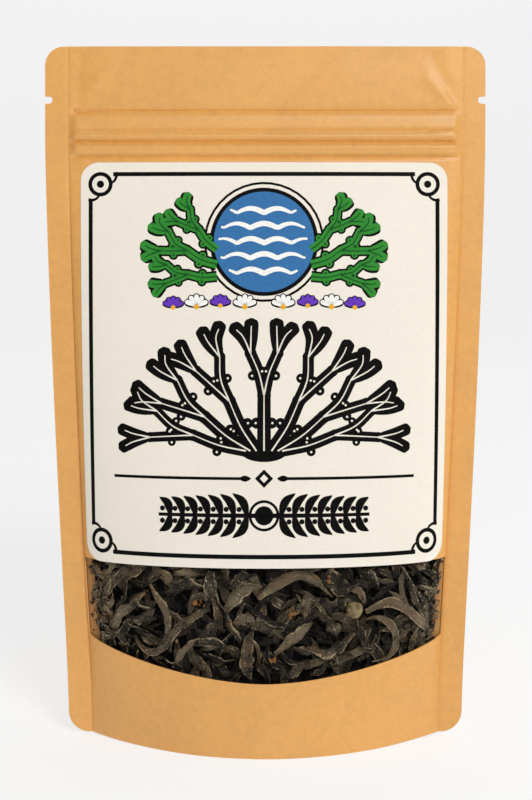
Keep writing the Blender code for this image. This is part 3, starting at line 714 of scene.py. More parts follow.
def lines_between(stops, spacing):
    """Mesh lines through all stops, evenly spaced between each two."""
    parts = [np.linspace(a, b, max(1, round((b - a) / spacing)) + 1)[:-1] for a, b in zip(stops, stops[1:])]
    return np.concatenate(parts + [[stops[-1]]])


def panel_half_width(v):
    """Half the panel's flat width at v: quarter circles at the corners and a round-ended notch in a side."""
    low = np.clip((BOTTOM_CORNER_RADIUS + CORNER_LIFT - v) / BOTTOM_CORNER_RADIUS, 0, 1)
    high = np.clip((v - PANEL_HEIGHT + TOP_CORNER_RADIUS) / TOP_CORNER_RADIUS, 0, 1)
    width = HALF_WIDTH - BOTTOM_CORNER_RADIUS * (1 - np.sqrt(1 - low**2))
    width -= TOP_CORNER_RADIUS * (1 - np.sqrt(1 - high**2))
    from_notch = np.abs(v - PANEL_HEIGHT + NOTCH_BELOW_TOP) / (NOTCH_HEIGHT / 2)
    round_end = NOTCH_HEIGHT / 2 * (1 - np.sqrt(np.clip(1 - from_notch**2, 0, 1)))
    return width - np.where(from_notch < 1, NOTCH_DEPTH - round_end, 0.0)


# A panel's mesh: where it gets finer beside the seams, and its spacings there, at the zip and in the header
FINE_FROM = 54.0
CREASE_INSIDE = 0.35
CREASE_OUTSIDE = 1.5
SEAM_SPACING = 0.45
ZIP_STOPS = (195.0, 208.0, 213.5)
ZIP_SPACING = 0.4
ZIP_TOP_SPACING = 0.6
FIN_SPACING = 1.0
NOTCH_CLEARANCE = 0.01


def panel_grid(spacing):
    """The flat points of a whole panel as a grid, and the rows where the window's cut begins and ends.

    Rows run from the curved lower edge to the window's lower edge, to its top and to the panel's
    top. Columns in a side seal are drawn in to the panel's round corners and notches.
    """
    inner = lines_between([0.0, FINE_FROM], spacing)
    crease = [PANEL_HALF - CREASE_INSIDE, PANEL_HALF, PANEL_HALF + CREASE_OUTSIDE]
    near = lines_between([FINE_FROM, WINDOW_HALF_WIDTH, *crease], SEAM_SPACING)[1:]
    fin = lines_between([PANEL_HALF + CREASE_OUTSIDE, HALF_WIDTH], FIN_SPACING)[1:]
    right = np.concatenate([inner, near, fin])
    columns = np.concatenate([-right[:0:-1], right])
    base = 1 - np.cos(np.linspace(0, math.pi / 2, 22))
    window = np.linspace(0, 1, round((WINDOW_TOP - WINDOW_LOW) / spacing))[1:]
    notch, reach = PANEL_HEIGHT - NOTCH_BELOW_TOP, NOTCH_HEIGHT / 2
    shoulder = PANEL_HEIGHT - TOP_CORNER_RADIUS
    upper = np.concatenate([
        lines_between([WINDOW_TOP, ZIP_STOPS[0]], spacing),
        lines_between(ZIP_STOPS[:2], ZIP_SPACING)[1:],
        lines_between(ZIP_STOPS[1:], ZIP_TOP_SPACING)[1:],
        lines_between([ZIP_STOPS[2], notch - reach - NOTCH_CLEARANCE], FIN_SPACING)[1:],
        notch - reach * np.cos(np.linspace(0, math.pi, 11)),
        lines_between([notch + reach + NOTCH_CLEARANCE, shoulder], spacing),
        (shoulder + TOP_CORNER_RADIUS * np.sin(np.linspace(0, math.pi / 2, 12)))[1:],
    ])[1:]
    low, middle = bottom_edge(columns), window_low(columns)
    v = np.concatenate([
        low + (middle - low) * base[:, None],
        middle + (WINDOW_TOP - middle) * window[:, None],
        np.repeat(upper[:, None], len(columns), axis=1),
    ])
    past = np.clip((np.abs(columns) - PANEL_HALF) / SEAL_WIDTH, 0, 1)
    seal = np.copysign(PANEL_HALF + (panel_half_width(v) - PANEL_HALF) * past, columns)
    return np.where(past > 0, seal, columns), v, len(base) - 1, len(base) + len(window) - 1


def sheet_faces(u, v, thickness, outward=0.0, keep=None):
    """A closed paper sheet on a grid of flat points: one surface on each side of the paper's middle."""
    faces = grid_faces(*u.shape)
    if keep is not None:
        faces = faces[keep.ravel()]
    outer = front_point(u, v, outward + thickness / 2).reshape(-1, 3)
    inner = front_point(u, v, outward - thickness / 2).reshape(-1, 3)
    used, faces = np.unique(faces, return_inverse=True)
    return closed_sheet(outer[used], inner[used], faces.reshape(-1, 4))


def front_and_back(look):
    """The front panel with its window cut out, and the plain back panel."""
    u, v, low, high = panel_grid(look.mesh_spacing)
    kraft = kraft_paper(look)
    row, column = np.meshgrid(np.arange(u.shape[0] - 1), np.arange(u.shape[1] - 1), indexing="ij")
    middle = (u[:-1, :-1] + u[:-1, 1:]) / 2
    window = (row >= low) & (row < high) & (np.abs(middle) < WINDOW_HALF_WIDTH)
    points, faces = sheet_faces(u, v, SHEET, keep=~window)
    make_piece("front_paper", points, faces, kraft, "kraft_paper", ["front_panel"])
    points, faces = sheet_faces(u, v, SHEET)
    points = points * (1, -1, 1)
    make_piece("back_paper", points, faces[:, ::-1], kraft, "kraft_paper", ["back_panel"])


def paper_of(name):
    """The material of a piece that is already made."""
    return bpy.data.objects[name].data.materials[0]


def gusset_fold(x):
    """The share of the way from the gusset's flat middle to an end, and the fold's height, a power of it."""
    sloping = GUSSET_HALF_LENGTH - GUSSET_FLAT_HALF_LENGTH
    run = np.clip((np.abs(x) - GUSSET_FLAT_HALF_LENGTH) / sloping, 0, 1)
    return run, GUSSET_FOLD_HIGH * run**GUSSET_FOLD_POWER


def bottom_gusset():
    """The folded bottom: flat on the floor in its middle, risen to the seals and folded at both ends."""
    ends = [-GUSSET_HALF_LENGTH, -GUSSET_FLAT_HALF_LENGTH, GUSSET_FLAT_HALF_LENGTH, GUSSET_HALF_LENGTH]
    shares = lines_between([-1.0, -GUSSET_FLAT_SHARE, 0.0, GUSSET_FLAT_SHARE, 1.0], 0.05)
    x, share_across = np.meshgrid(lines_between(ends, 1.2), shares, indexing="ij")
    low, high, power = GUSSET_SEAL
    seal = low + (high - low) * (np.abs(x) / GUSSET_HALF_LENGTH) ** power
    run, fold = gusset_fold(x)
    rise = np.clip((np.abs(share_across) - GUSSET_FLAT_SHARE) / (1 - GUSSET_FLAT_SHARE), 0, 1)
    wide = half_depth(x, seal) - SHEET / 2 - GUSSET_GAP
    crease = 0.25 * np.exp(-((share_across / 0.06) ** 2)) * smooth(run * 4)
    z = fold + (seal - fold) * rise**GUSSET_RISE_POWER + crease
    under = np.stack([x, share_across * wide, z], axis=-1).reshape(-1, 3)
    points, faces = closed_sheet(under + (0, 0, SHEET), under, grid_faces(*x.shape)[:, ::-1])
    make_piece("folded_bottom", points, faces, paper_of("front_paper"), "kraft_paper", ["bottom_gusset"])


# The paper seen beside the fill: u, depth behind the film and painted shade, each at its inner and its outer
# edge
SIDE_STRIP_U = (61.8, 66.7)
SIDE_STRIP_DEPTH = (1.72, 0.12)
SIDE_STRIP_PAINTED_SHADE = (1.0, 0.45)
SIDE_STRIP_THICKNESS = 0.25
SIDE_STRIP_LOW = WINDOW_LOW + 3.0


def side_strips():
    """The pouch's inside beside the fill: a strip of paper along each side of the window, leaning inward."""
    share, v = np.meshgrid(np.linspace(0, 1, 8), np.linspace(SIDE_STRIP_LOW, WINDOW_TOP, 30))
    ends = (SIDE_STRIP_U, SIDE_STRIP_DEPTH, SIDE_STRIP_PAINTED_SHADE)
    u, depth, inside = [inner + (outer - inner) * share for inner, outer in ends]
    faces = grid_faces(*u.shape)
    sheets = []
    for side, turned in ((1, faces), (-1, faces[:, ::-1])):
        depths = (depth, depth + SIDE_STRIP_THICKNESS)
        layers = [fill_point(side * u, v, each).reshape(-1, 3) for each in depths]
        sheets.append(closed_sheet(*layers, turned))
    points, faces = joined(sheets)
    # Painted shade: the strips turn darker towards the fill, kept as the attribute inside.
    values = {"inside": np.tile(inside.ravel(), 4)}
    make_piece("side_strips", points, faces, paper_of("front_paper"), "kraft_paper", values=values)


FILM_THICKNESS = 0.12
FILM_CLEARANCE = 0.3


def window_film(look):
    """The clear film that closes the window in the paper's plane, and the paper seen beside the fill."""
    reach = WINDOW_HALF_WIDTH - FILM_CLEARANCE
    columns = lines_between([-reach, reach], look.mesh_spacing)
    low, high = window_low(columns) + FILM_CLEARANCE, WINDOW_TOP - FILM_CLEARANCE
    v = low + (high - low) * np.linspace(0, 1, 24)[:, None]
    points, faces = sheet_faces(np.repeat(columns[None], len(v), axis=0), v, FILM_THICKNESS)
    make_piece("window_pane", points, faces, clear_film(look), "clear_film", ["window_film"])
    side_strips()


def label_half_width(v):
    """Half the label's width at v, with its corners as quarter circles."""
    past = np.maximum(LABEL_RISE[0] + LABEL_CORNER_RADIUS - v, v - LABEL_RISE[1] + LABEL_CORNER_RADIUS)
    turn = np.clip(past / LABEL_CORNER_RADIUS, 0, 1)
    return LABEL_HALF_WIDTH - LABEL_CORNER_RADIUS * (1 - np.sqrt(1 - turn**2))


def paper_label(look):
    """The label on the front, its corner columns drawn in to the round corners."""
    shares = lines_between([-1.0, 1.0], look.mesh_spacing / LABEL_HALF_WIDTH)
    low, high = LABEL_RISE
    corner = LABEL_CORNER_RADIUS * (1 - np.cos(np.linspace(0, math.pi / 2, 12)))
    straight = lines_between([low + LABEL_CORNER_RADIUS, high - LABEL_CORNER_RADIUS], look.mesh_spacing)
    rows = np.concatenate([low + corner, straight[1:-1], high - corner[::-1]])
    v = np.repeat(rows[:, None], len(shares), axis=1)
    u = LABEL_OFFSET + shares * label_half_width(v)
    points, faces = sheet_faces(u, v, look.label_thickness, SHEET / 2 + LABEL_GAP + look.label_thickness / 2)
    make_piece("paper_label", points, faces, label_paper(look), "label_paper", ["label"])


# Print


def curve_points(path, spacing):
    """Evenly spaced points of the smooth Catmull-Rom curve through a path's points."""
    path = np.asarray(path, float)
    if len(path) > 2:
        ends = np.concatenate([[2 * path[0] - path[1]], path, [2 * path[-1] - path[-2]]])
        t = np.linspace(0, 1, 13)[:-1, None]
        a, b, c, d = ends[:-3], ends[1:-2], ends[2:-1], ends[3:]
        a, b, c, d = (point[:, None] for point in (a, b, c, d))
        bends = 2 * b + (c - a) * t + (2 * a - 5 * b + 4 * c - d) * t**2 + (3 * b - a - 3 * c + d) * t**3
        path = np.concatenate([bends.reshape(-1, path.shape[1]) / 2, path[-1:]])
    run = np.concatenate([[0], np.cumsum(np.linalg.norm(np.diff(path, axis=0), axis=1))])
    at = np.linspace(0, run[-1], max(2, round(run[-1] / spacing)) + 1)
    return np.stack([np.interp(at, run, path[:, k]) for k in range(path.shape[1])], axis=1)


INK_CELL = 1.1


def stroke(path, width, taper=(1.0, 1.0), belly=0.0, round_ends=False, spacing=0.7):
    """A flat stroke along a path as a grid of (u, v): the path's points moved to each side by half its width.

    The width runs from its first taper to its second and swells by belly in the middle, as a sine.
    """
    line = curve_points(path, spacing)
    slope = np.gradient(line, axis=0)
    side = np.stack([-slope[:, 1], slope[:, 0]], axis=1) / np.linalg.norm(slope, axis=1)[:, None]
    t = np.linspace(0, 1, len(line))
    half = width / 2 * (taper[0] + (taper[1] - taper[0]) * t + belly * np.sin(math.pi * t))
    if round_ends:
        run = t * (len(line) - 1) * spacing
        reach = np.minimum(run, run[-1] - run) / (width / 2)
        half = half * np.sqrt(np.clip(1 - np.clip(1 - reach, 0, 1) ** 2, 0.02, 1))
    cells = max(2, math.ceil(half.max() * 2 / INK_CELL))
    return line[:, None] + side[:, None] * (half[:, None] * np.linspace(1, -1, cells + 1))[..., None]


DISC_CELL = 0.8


def disc(centre, radius_u, radius_v=None):
    """A filled ellipse as a grid: a square whose points are drawn in to a circle, so it has no pole."""
    radius_v = radius_v or radius_u
    count = max(4, math.ceil(2 * max(radius_u, radius_v) / DISC_CELL))
    x, y = np.meshgrid(np.linspace(-1, 1, count + 1), np.linspace(-1, 1, count + 1))
    u, v = radius_u * x * np.sqrt(1 - y**2 / 2), radius_v * y * np.sqrt(1 - x**2 / 2)
    return np.stack([centre[0] + u, centre[1] + v], axis=-1)


def ring(centre, radius, width):
    """A whole ring of even width, whose last points lie on its first: the cosine and sine of the angle."""
    angles = np.linspace(2 * math.pi, 0, 40)
    out = np.stack([np.cos(angles), np.sin(angles)], axis=1)
    return np.asarray(centre) + out[:, None] * (radius + np.linspace(width / 2, -width / 2, 3))[:, None]


def printed(name, shapes, material, low, high):
    """Flat shapes laid on the label from low to high, a closed sheet of ink each; a ring is joined round."""
    parts = []
    for shape in shapes:
        whole = np.allclose(shape[0], shape[-1])
        shape = shape[:-1].swapaxes(0, 1) if whole else shape
        u, v = shape[..., 0], shape[..., 1]
        turn = np.cross(shape[0, 1] - shape[0, 0], shape[1, 0] - shape[0, 0])
        if turn < 0:
            u, v = u[:, ::-1], v[:, ::-1]
        outer, inner = front_point(u, v, high).reshape(-1, 3), front_point(u, v, low).reshape(-1, 3)
        parts.append(closed_sheet(outer, inner, grid_faces(*u.shape, wrap=whole)))
    points, faces = joined(parts)
    make_piece(name, points, faces, material, "label_paper")


def mirrored(shapes):
    """Flat shapes and their mirror images about the label's middle."""
    return shapes + [shape * (-1, 1) + (2 * LABEL_OFFSET, 0) for shape in shapes]


# The border: half the distance of its side lines, the heights of the others, and the roundels in its corners
BORDER_HALF_WIDTH = 58.82
BORDER_RISE = (64.7, 191.1)
ROUNDEL_HALF_SPAN = 55.5
ROUNDEL_INSET = 3.4
ROUNDEL_RING = (3.52, 1.3)
ROUNDEL_DOT = 1.25
ROUNDEL_CLEARANCE = (4.3, 4.9)
HOOK_CENTRE = (2.5, 3.0)
HOOK_RADIUS = 2.9


def border_shapes(width):
    """The border: four lines, and a roundel in each corner that two tapering hooks join to the lines."""
    turn = np.radians(np.linspace(22, -62, 8))
    hook = np.array(HOOK_CENTRE) + HOOK_RADIUS * np.stack([np.cos(turn), np.sin(turn)], axis=1)
    shapes = []
    for line, up in zip(BORDER_RISE, (1, -1)):
        centre = np.array([LABEL_OFFSET - ROUNDEL_HALF_SPAN, line + up * ROUNDEL_INSET])
        corner = [ring(centre, *ROUNDEL_RING), disc(centre, ROUNDEL_DOT)]
        for path in (hook * (1, -up), hook[:, ::-1] * (-1, up)):
            corner.append(stroke(centre + path, 1.0, (1.15, 0.7), spacing=0.3))
        shapes += mirrored(corner)
        end = ROUNDEL_HALF_SPAN - ROUNDEL_CLEARANCE[0]
        shapes.append(stroke([(LABEL_OFFSET - end, line), (LABEL_OFFSET + end, line)], width))
    left, gap = LABEL_OFFSET - BORDER_HALF_WIDTH, ROUNDEL_INSET + ROUNDEL_CLEARANCE[1]
    return shapes + mirrored([stroke([(left, BORDER_RISE[0] + gap), (left, BORDER_RISE[1] - gap)], width)])


DIVIDER_PLACE = np.array([LABEL_OFFSET, 90.0])
DIVIDER_REACH = 50.5
DIAMOND_REACH = 3.0
DIAMOND_LINE = 1.6


def divider_shapes():
    """A thin divider: two lines with pointed ends and a hollow diamond between them."""
    shapes = mirrored([
        stroke([DIVIDER_PLACE + (5.8, 0), DIVIDER_PLACE + (DIVIDER_REACH, 0)], 0.95),
        stroke([DIVIDER_PLACE + (4.3, 0), DIVIDER_PLACE + (8.3, 0)], 2.0, (0.1, 0.1), 0.9),
    ])
    corners = DIAMOND_REACH * np.array([(1, 0), (0, 1), (-1, 0), (0, -1), (1, 0)])
    for start, end in zip(corners, corners[1:]):
        outer = np.linspace(start, end, 6)
        shapes.append(np.stack([outer, outer * (1 - DIAMOND_LINE / DIAMOND_REACH)], axis=1) + DIVIDER_PLACE)
    return shapes


# What a fork's two fronds keep of the length and width before it, and how a bend turns them and straightens
FORK_LENGTH = 0.8
FORK_WIDTH = 0.88
FORK_TURN = 40.0
FORK_STRAIGHTENING = 1 / 420


def forking_frond(foot, angle, length, width, bend, spread, levels=2):
    """A frond that forks, as (path, width, level) for each stalk: one, then two shorter fronds at its end."""
    foot = np.asarray(foot, float)
    heading = np.array([math.cos(math.radians(angle)), math.sin(math.radians(angle))])
    end = foot + heading * length
    middle = (foot + end) / 2 + np.array([-heading[1], heading[0]]) * bend * length
    found = [(np.array([foot, middle, end]), width, levels)]
    for turn in (-spread, spread) if levels else ():
        lean, next_bend = angle + turn + FORK_TURN * bend, bend - turn * FORK_STRAIGHTENING
        size = (length * FORK_LENGTH, width * FORK_WIDTH)
        found += forking_frond(end, lean, *size, next_bend, spread, levels - 1)
    return found


def bladder_places(path, reach):
    """The two points that lie to each side of a stalk's middle, at right angles to it."""
    along = (path[2] - path[0]) / np.linalg.norm(path[2] - path[0])
    return [path[1] + way * reach * np.array([-along[1], along[0]]) for way in (-1, 1)]


def frond_blades(fronds, thicken=0.0):
    """The blades: stalks with a pair of round bladders each, and tips that swell towards their ends."""
    shapes = []
    for path, width, level in fronds:
        if level:
            shapes += [stroke(path, width + thicken, (1.0, 0.95)), disc(path[2], (width + thicken) / 2)]
            shapes += [disc(place, width * 0.4 + thicken / 2) for place in bladder_places(path, width * 0.55)]
        else:
            shapes.append(stroke(path, width + thicken, (0.8, 1.3), 0.25, True))
    return shapes


def frond_ribs(fronds, width):
    """A thin midrib on every blade, and a dot on every bladder of a stalk."""
    shapes = []
    for path, blade, level in fronds:
        end = path[2] if level else path[1] + (path[2] - path[1]) * 0.55
        shapes.append(stroke([path[0], path[1], end], width, (1.0, 0.6)))
        shapes += [disc(place, width * 0.7) for place in bladder_places(path, blade * 0.6) if level]
    return shapes


SEA_PLACE = np.array([LABEL_OFFSET, 168.2])
SEA_RADIUS = 16.9
SEA_RIM_RADIUS = 18.2
SEA_RING = (19.8, 0.8)
WAVE_TOP = 178.6
WAVE_STEP = 5.1
WAVE_LENGTH = 2.9


def round_sea(layers):
    """A round sea in a ring: five rows of waves, each the height of a sine without its sign."""
    layers["black"] += [disc(SEA_PLACE, SEA_RIM_RADIUS), ring(SEA_PLACE, *SEA_RING)]
    layers["blue"].append(disc(SEA_PLACE, SEA_RADIUS))
    for row in range(5):
        v = WAVE_TOP - WAVE_STEP * row
        reach = math.sqrt((SEA_RADIUS - 1) ** 2 - (v - SEA_PLACE[1]) ** 2) - 0.6
        u = np.linspace(-reach, reach, 90)
        crest = 1.5 * np.abs(np.sin(u / WAVE_LENGTH + row * math.pi / 2)) - 0.7
        wave = np.stack([LABEL_OFFSET + u, v + crest], axis=1)[::3]
        layers["white"].append(stroke(wave, 1.5, (0.45, 0.45), 0.75))


# Coloured fronds beside the sea: lean in degrees, the foot's height, the first stalk's length and width
GREEN_FRONDS = ((133, 165.5, 9.2, 2.6), (155, 160.5, 11.2, 2.8), (176, 156.5, 9.8, 2.5))
GREEN_FOOT = 15.8
GREEN_OUTLINE = 1.3


def green_fronds(layers):
    """Three forking fronds at each side of the sea, with a black outline and dark midribs."""
    for lean, foot, length, width in GREEN_FRONDS:
        fronds = forking_frond((LABEL_OFFSET - GREEN_FOOT, foot), lean, length, width, 0.07, 23)
        layers["black"] += mirrored(frond_blades(fronds, GREEN_OUTLINE))
        layers["green"] += mirrored(frond_blades(fronds))
        layers["dark_green"] += mirrored(frond_ribs(fronds, 0.6))


# Shells under the sea: the distance from the middle, the height, the size and the colour
SHELLS = (
    (6.4, 148.0, 3.6, "white"),
    (14.6, 148.2, 3.2, "violet"),
    (22.6, 148.0, 3.6, "white"),
    (30.4, 147.6, 3.2, "violet"),
)
SHELL_RAY_TURN = 32


def shell_row(layers):
    """A row of shells: five rounded rays from a hinge, each in black with a slimmer coloured one on it."""
    for u, v, size, tone in SHELLS:
        hinge = np.array([LABEL_OFFSET - u, v - size * 0.45])
        for angle in np.radians(90 + SHELL_RAY_TURN * np.arange(-2, 3)):
            ray = size * 1.25 * np.array([math.cos(angle), math.sin(angle)])
            slim = [hinge + (0, 0.3), hinge + ray * 0.93]
            full = [hinge, hinge + ray]
            layers["black"] += mirrored([stroke(full, size * 0.72, (0.45, 1.0), 0.2, True, 0.4)])
            layers[tone] += mirrored([stroke(slim, size * 0.42, (0.5, 1.0), 0.2, True, 0.4)])
        layers["yellow"] += mirrored([disc(hinge, size * 0.24)])


# The fan's fronds: lean in degrees, the foot's distance from the middle, the first stalk's length and width
FAN_FRONDS = ((90, 0.0, 18.2, 4.6), (119, 2.5, 18.6, 4.5), (144, 4.5, 18.8, 4.4), (164, 6.0, 18.2, 3.9))
FAN_FOOT = 99.0
FAN_HEEL = (7.5, 3.2)


def black_fan(layers):
    """A fan of black forking fronds with cream midribs on an oval heel: one upright, the rest in pairs."""
    for lean, foot, length, width in FAN_FRONDS:
        pair = mirrored if lean > 90 else list
        fronds = forking_frond((LABEL_OFFSET - foot, FAN_FOOT), lean, length, width, 0.04 * (lean > 90), 18)
        layers["black"] += pair(frond_blades(fronds))
        layers["cream"] += pair(frond_ribs(fronds, 0.55))
    layers["black"].append(disc((LABEL_OFFSET, FAN_FOOT - 0.4), *FAN_HEEL))


GARLAND_PLACE = np.array([LABEL_OFFSET, 78.0])
GARLAND_REACH = 35.0


def garland(layers):
    """A level garland: a stalk with pairs of pointed blades that lean outward, and bladders between them."""
    half = [stroke([GARLAND_PLACE, GARLAND_PLACE + (GARLAND_REACH, 0.0)], 1.5, (1.0, 0.7))]
    for number, start in enumerate(np.linspace(5.5, GARLAND_REACH - 4.0, 7)):
        size = 9.2 - 0.35 * number
        foot = GARLAND_PLACE + (start, 0.0)
        for up in (-1, 1):
            tip = foot + (size * 0.52, up * size * 0.78)
            bend = (foot + tip) / 2 + (-0.9, up * 0.9)
            half.append(stroke([foot, bend, tip], 1.0, (1.0, 0.3), 2.1, spacing=0.5))
            half.append(disc(foot + (2.7, up * 2.0), 0.85))
    layers["black"] += mirrored(half) + [disc(GARLAND_PLACE, 3.1), ring(GARLAND_PLACE, 4.6, 0.9)]


# The inks in the order of printing, and how many steps each stands above the black
INKS = {"black": 0, "cream": 1, "blue": 1, "green": 2, "violet": 2, "white": 2, "dark_green": 3, "yellow": 3}
INK_STEP = 0.012
INK_SINK = 0.02


def label_print(look, label_thickness):
    """A generic print, a piece for each ink: border, round sea, fronds, shells, fan, divider and garland."""
    layers = {name: [] for name in INKS}
    layers["black"] += border_shapes(look.line_width) + divider_shapes()
    for motif in (round_sea, green_fronds, shell_row, black_fan, garland):
        motif(layers)
    base = SHEET / 2 + LABEL_GAP + label_thickness
    for name, step in INKS.items():
        top = base + look.ink_height + INK_STEP * step
        material = ink(f"print_{name}", getattr(look, name))
        printed(f"print_{name}", layers[name], material, base - INK_SINK, top)


# Seaweed


# How far a strip may reach to the sides, how near it may come to the film, and the depths where painted shade
# turns it dark
STRIP_REACH = 65.4
STRIP_NEAREST = 0.45
PAINTED_SHADE_FROM = 1.6
PAINTED_SHADE_RUN = 4.6


def ribbons(line, width, thickness, columns, rng, curl, ruffle):
    """Closed ribbons along many centre lines, as points, faces, the numbers of their material and the uv.

    line is (strips, steps, 3) in (u, v, depth). Across each ribbon, s runs from -1 to 1. A point
    is the line, plus s times the half width along the turned side, plus a curl of s^2 and a
    ruffle that grows to the edges. The half width tapers to both ends and its edges are uneven.
    """
    count, steps = line.shape[:2]
    t = np.linspace(0, 1, steps)
    s = np.linspace(-1, 1, columns + 1)
    slope = np.gradient(line, axis=1)
    slope /= np.linalg.norm(slope, axis=2, keepdims=True)
    side = np.stack([-slope[..., 1], slope[..., 0], np.zeros(slope.shape[:2])], axis=-1)
    side /= np.maximum(np.linalg.norm(side, axis=2, keepdims=True), 1e-6)
    up = np.cross(slope, side)

    def draw(low, high):
        return rng.uniform(low, high, (count, 1))

    def uneven_edge():
        return 1 + 0.1 * np.sin(t * draw(9, 22) + draw(0, 6)) + 0.05 * np.sin(t * draw(26, 45) + draw(0, 6))

    roll = draw(-0.8, 0.8) + draw(-1.3, 1.3) * (t - 0.5) + 0.25 * np.sin(t * draw(4, 11) + draw(0, 6))
    turned = side * np.cos(roll)[..., None] + up * np.sin(roll)[..., None]
    facing = np.cross(slope, turned)
    blunt, point = draw(0.12, 0.6), draw(0.06, 0.45)
    shape = (blunt + (1 - blunt) * smooth(t / 0.3)) * (point + (1 - point) * smooth((1 - t) / 0.4))
    left, right = uneven_edge()[..., None], uneven_edge()[..., None]
    half = (width / 2 * shape)[..., None] * np.where(s < 0, left, right)
    bend = (draw(-1, 1.6) * curl)[..., None] * (s**2 - 0.4) * half
    wave = ruffle * np.sin(t * draw(14, 34) + draw(0, 6))[..., None] * half
    wave = wave * np.abs(s) ** 1.5 * np.sign(s + 0.01)
    rib = -0.14 * np.exp(-((s / 0.28) ** 2)) * draw(0, 1)[..., None]
    turned, facing = turned[:, :, None], facing[:, :, None]
    middle = line[:, :, None] + turned * (s * half)[..., None] + facing * (bend + wave + rib)[..., None]
    wall = facing * (thickness / 2 * (1 - 0.45 * s**4))[..., None]
    sides = []
    for layer in (middle + wall, middle - wall):
        u, depth = np.clip(layer[..., 0], -STRIP_REACH, STRIP_REACH), np.maximum(layer[..., 2], STRIP_NEAREST)
        sides.append(fill_point(u, layer[..., 1], depth).reshape(-1, 3))
    size = steps * (columns + 1)
    faces = (grid_faces(steps, columns + 1) + np.arange(count)[:, None, None] * size).reshape(-1, 4)
    points, faces = closed_sheet(*sides, faces)
    step = np.linalg.norm(np.diff(line, axis=1), axis=2)
    length = np.concatenate([np.zeros((count, 1)), np.cumsum(step, axis=1)], axis=1)[..., None]
    uv = np.broadcast_arrays(length + draw(0, 90)[..., None], s * half + draw(0, 90)[..., None])
    values = {
        "tone": draw(0, 1)[..., None],
        "edge": np.abs(s),
        "tip": (2 * np.abs(t - 0.5))[:, None] ** 2,
        # deep: how much painted shade darkens a strip, from its depth behind the film
        "deep": np.clip((line[..., 2] - PAINTED_SHADE_FROM) / PAINTED_SHADE_RUN, 0, 1)[..., None],
    }
    values = {key: np.tile(np.broadcast_to(value, half.shape).ravel(), 2) for key, value in values.items()}
    return points, faces, values, np.tile(np.stack(uv, axis=-1).reshape(-1, 2), (2, 1))


def outward(points, faces):
    """The faces turned round if they enclose a negative volume, the sum of their corners' triple products."""
    a, b, c, d = (points[faces[:, k]] for k in range(4))
    volume = np.sum(np.cross(b - a, c - a) * a) + np.sum(np.cross(c - a, d - a) * a)
    return faces if volume > 0 else faces[:, ::-1]


def ball_grid(rings, sides):
    """Directions over a ball as (theta, phi) rows without poles, and its faces, with a cap at each end."""
    theta = np.linspace(0, math.pi, rings + 2)[1:-1]
    phi = np.linspace(0, 2 * math.pi, sides + 1)[:-1]
    return *np.meshgrid(theta, phi, indexing="ij"), capped_tube(rings, sides)


def ball_rays(theta, phi):
    """The unit vectors of directions: sine of theta times cosine and sine of phi, and cosine of theta."""
    return np.stack([np.sin(theta) * np.cos(phi), np.sin(theta) * np.sin(phi), np.cos(theta)], axis=-1)


def ring_cap(start, sides):
    """Four-cornered faces across a ring with an even number of points, which closes it."""
    k = np.arange(sides // 2 - 1)
    low, high = start + k, start + sides - 1 - k
    return np.stack([low, high, high - 1, low + 1], axis=1)


def capped_tube(rows, sides):
    """Faces of a closed tube: a grid that wraps round, with a cap across its first and last rows."""
    caps = [ring_cap(0, sides), ring_cap((rows - 1) * sides, sides)[:, ::-1]]
    return np.concatenate([grid_faces(rows, sides, wrap=True)] + caps)


# The heap's core: its height, its distance from the seams, the paper and the gusset, and its rounded shoulder
CORE_HEIGHT = 147.0
CORE_FIRST_LIFT = 2.5
CORE_SIDE_GAP = 5.2
CORE_PAPER_GAP = 6.6
CORE_GUSSET_GAP = 2.4
CORE_LEAST_DEPTH = 0.4
CORE_SHOULDER = 0.72
CORE_CORNERS = (0.85, 0.5)
CORE_END = 0.05


def heap_core(rings, sides):
    """The heap's closed core: rings from just above the gusset to a rounded top, drawn in at both ends.

    Each ring is a rounded oblong, a power of the cosine by a power of the sine, inside the paper.
    Its height starts from the gusset under it, which its width sets in turn, so both are worked out thrice.
    """
    level = np.concatenate([[0.0, 0.0], np.linspace(0, CORE_HEIGHT, rings), [CORE_HEIGHT]])
    tight = np.ones((len(level), 1))
    tight[0] = tight[-1] = CORE_END
    angle = np.linspace(0, 2 * math.pi, sides + 1)[:-1] + math.pi / sides
    level, angle = np.meshgrid(level, angle, indexing="ij")
    past = np.maximum(level / FILL_TOP - CORE_SHOULDER, 0) / (1 - CORE_SHOULDER)
    shrink = np.sqrt(np.maximum(1 - past**2, 0))
    cosine, sine = np.cos(angle), np.sin(angle)
    wide = np.copysign(np.abs(cosine) ** CORE_CORNERS[0], cosine)
    deep = np.copysign(np.abs(sine) ** CORE_CORNERS[1], sine)
    z = level + CORE_FIRST_LIFT
    for _ in range(3):
        x = wide * (half_chord(bulge_depth(z)) - CORE_SIDE_GAP) * shrink * tight
        room = np.maximum(half_depth(x, z) - SHEET / 2 - CORE_PAPER_GAP, CORE_LEAST_DEPTH)
        y = deep * room * (0.35 + 0.65 * shrink) * tight
        floor = gusset_fold(x)[1] + SHEET + CORE_GUSSET_GAP
        z = floor + level * (1 - floor / (FILL_TOP + 10))
    lumps = 0.5 * np.sin(x / 1.7 + 2 * np.sin(z / 2.3)) * np.sin(z / 1.9 + 1.5 * np.sin(x / 3.1))
    points = np.stack([x, y + np.sign(y) * lumps * tight, z], axis=-1).reshape(-1, 3)
    return points, capped_tube(*level.shape)


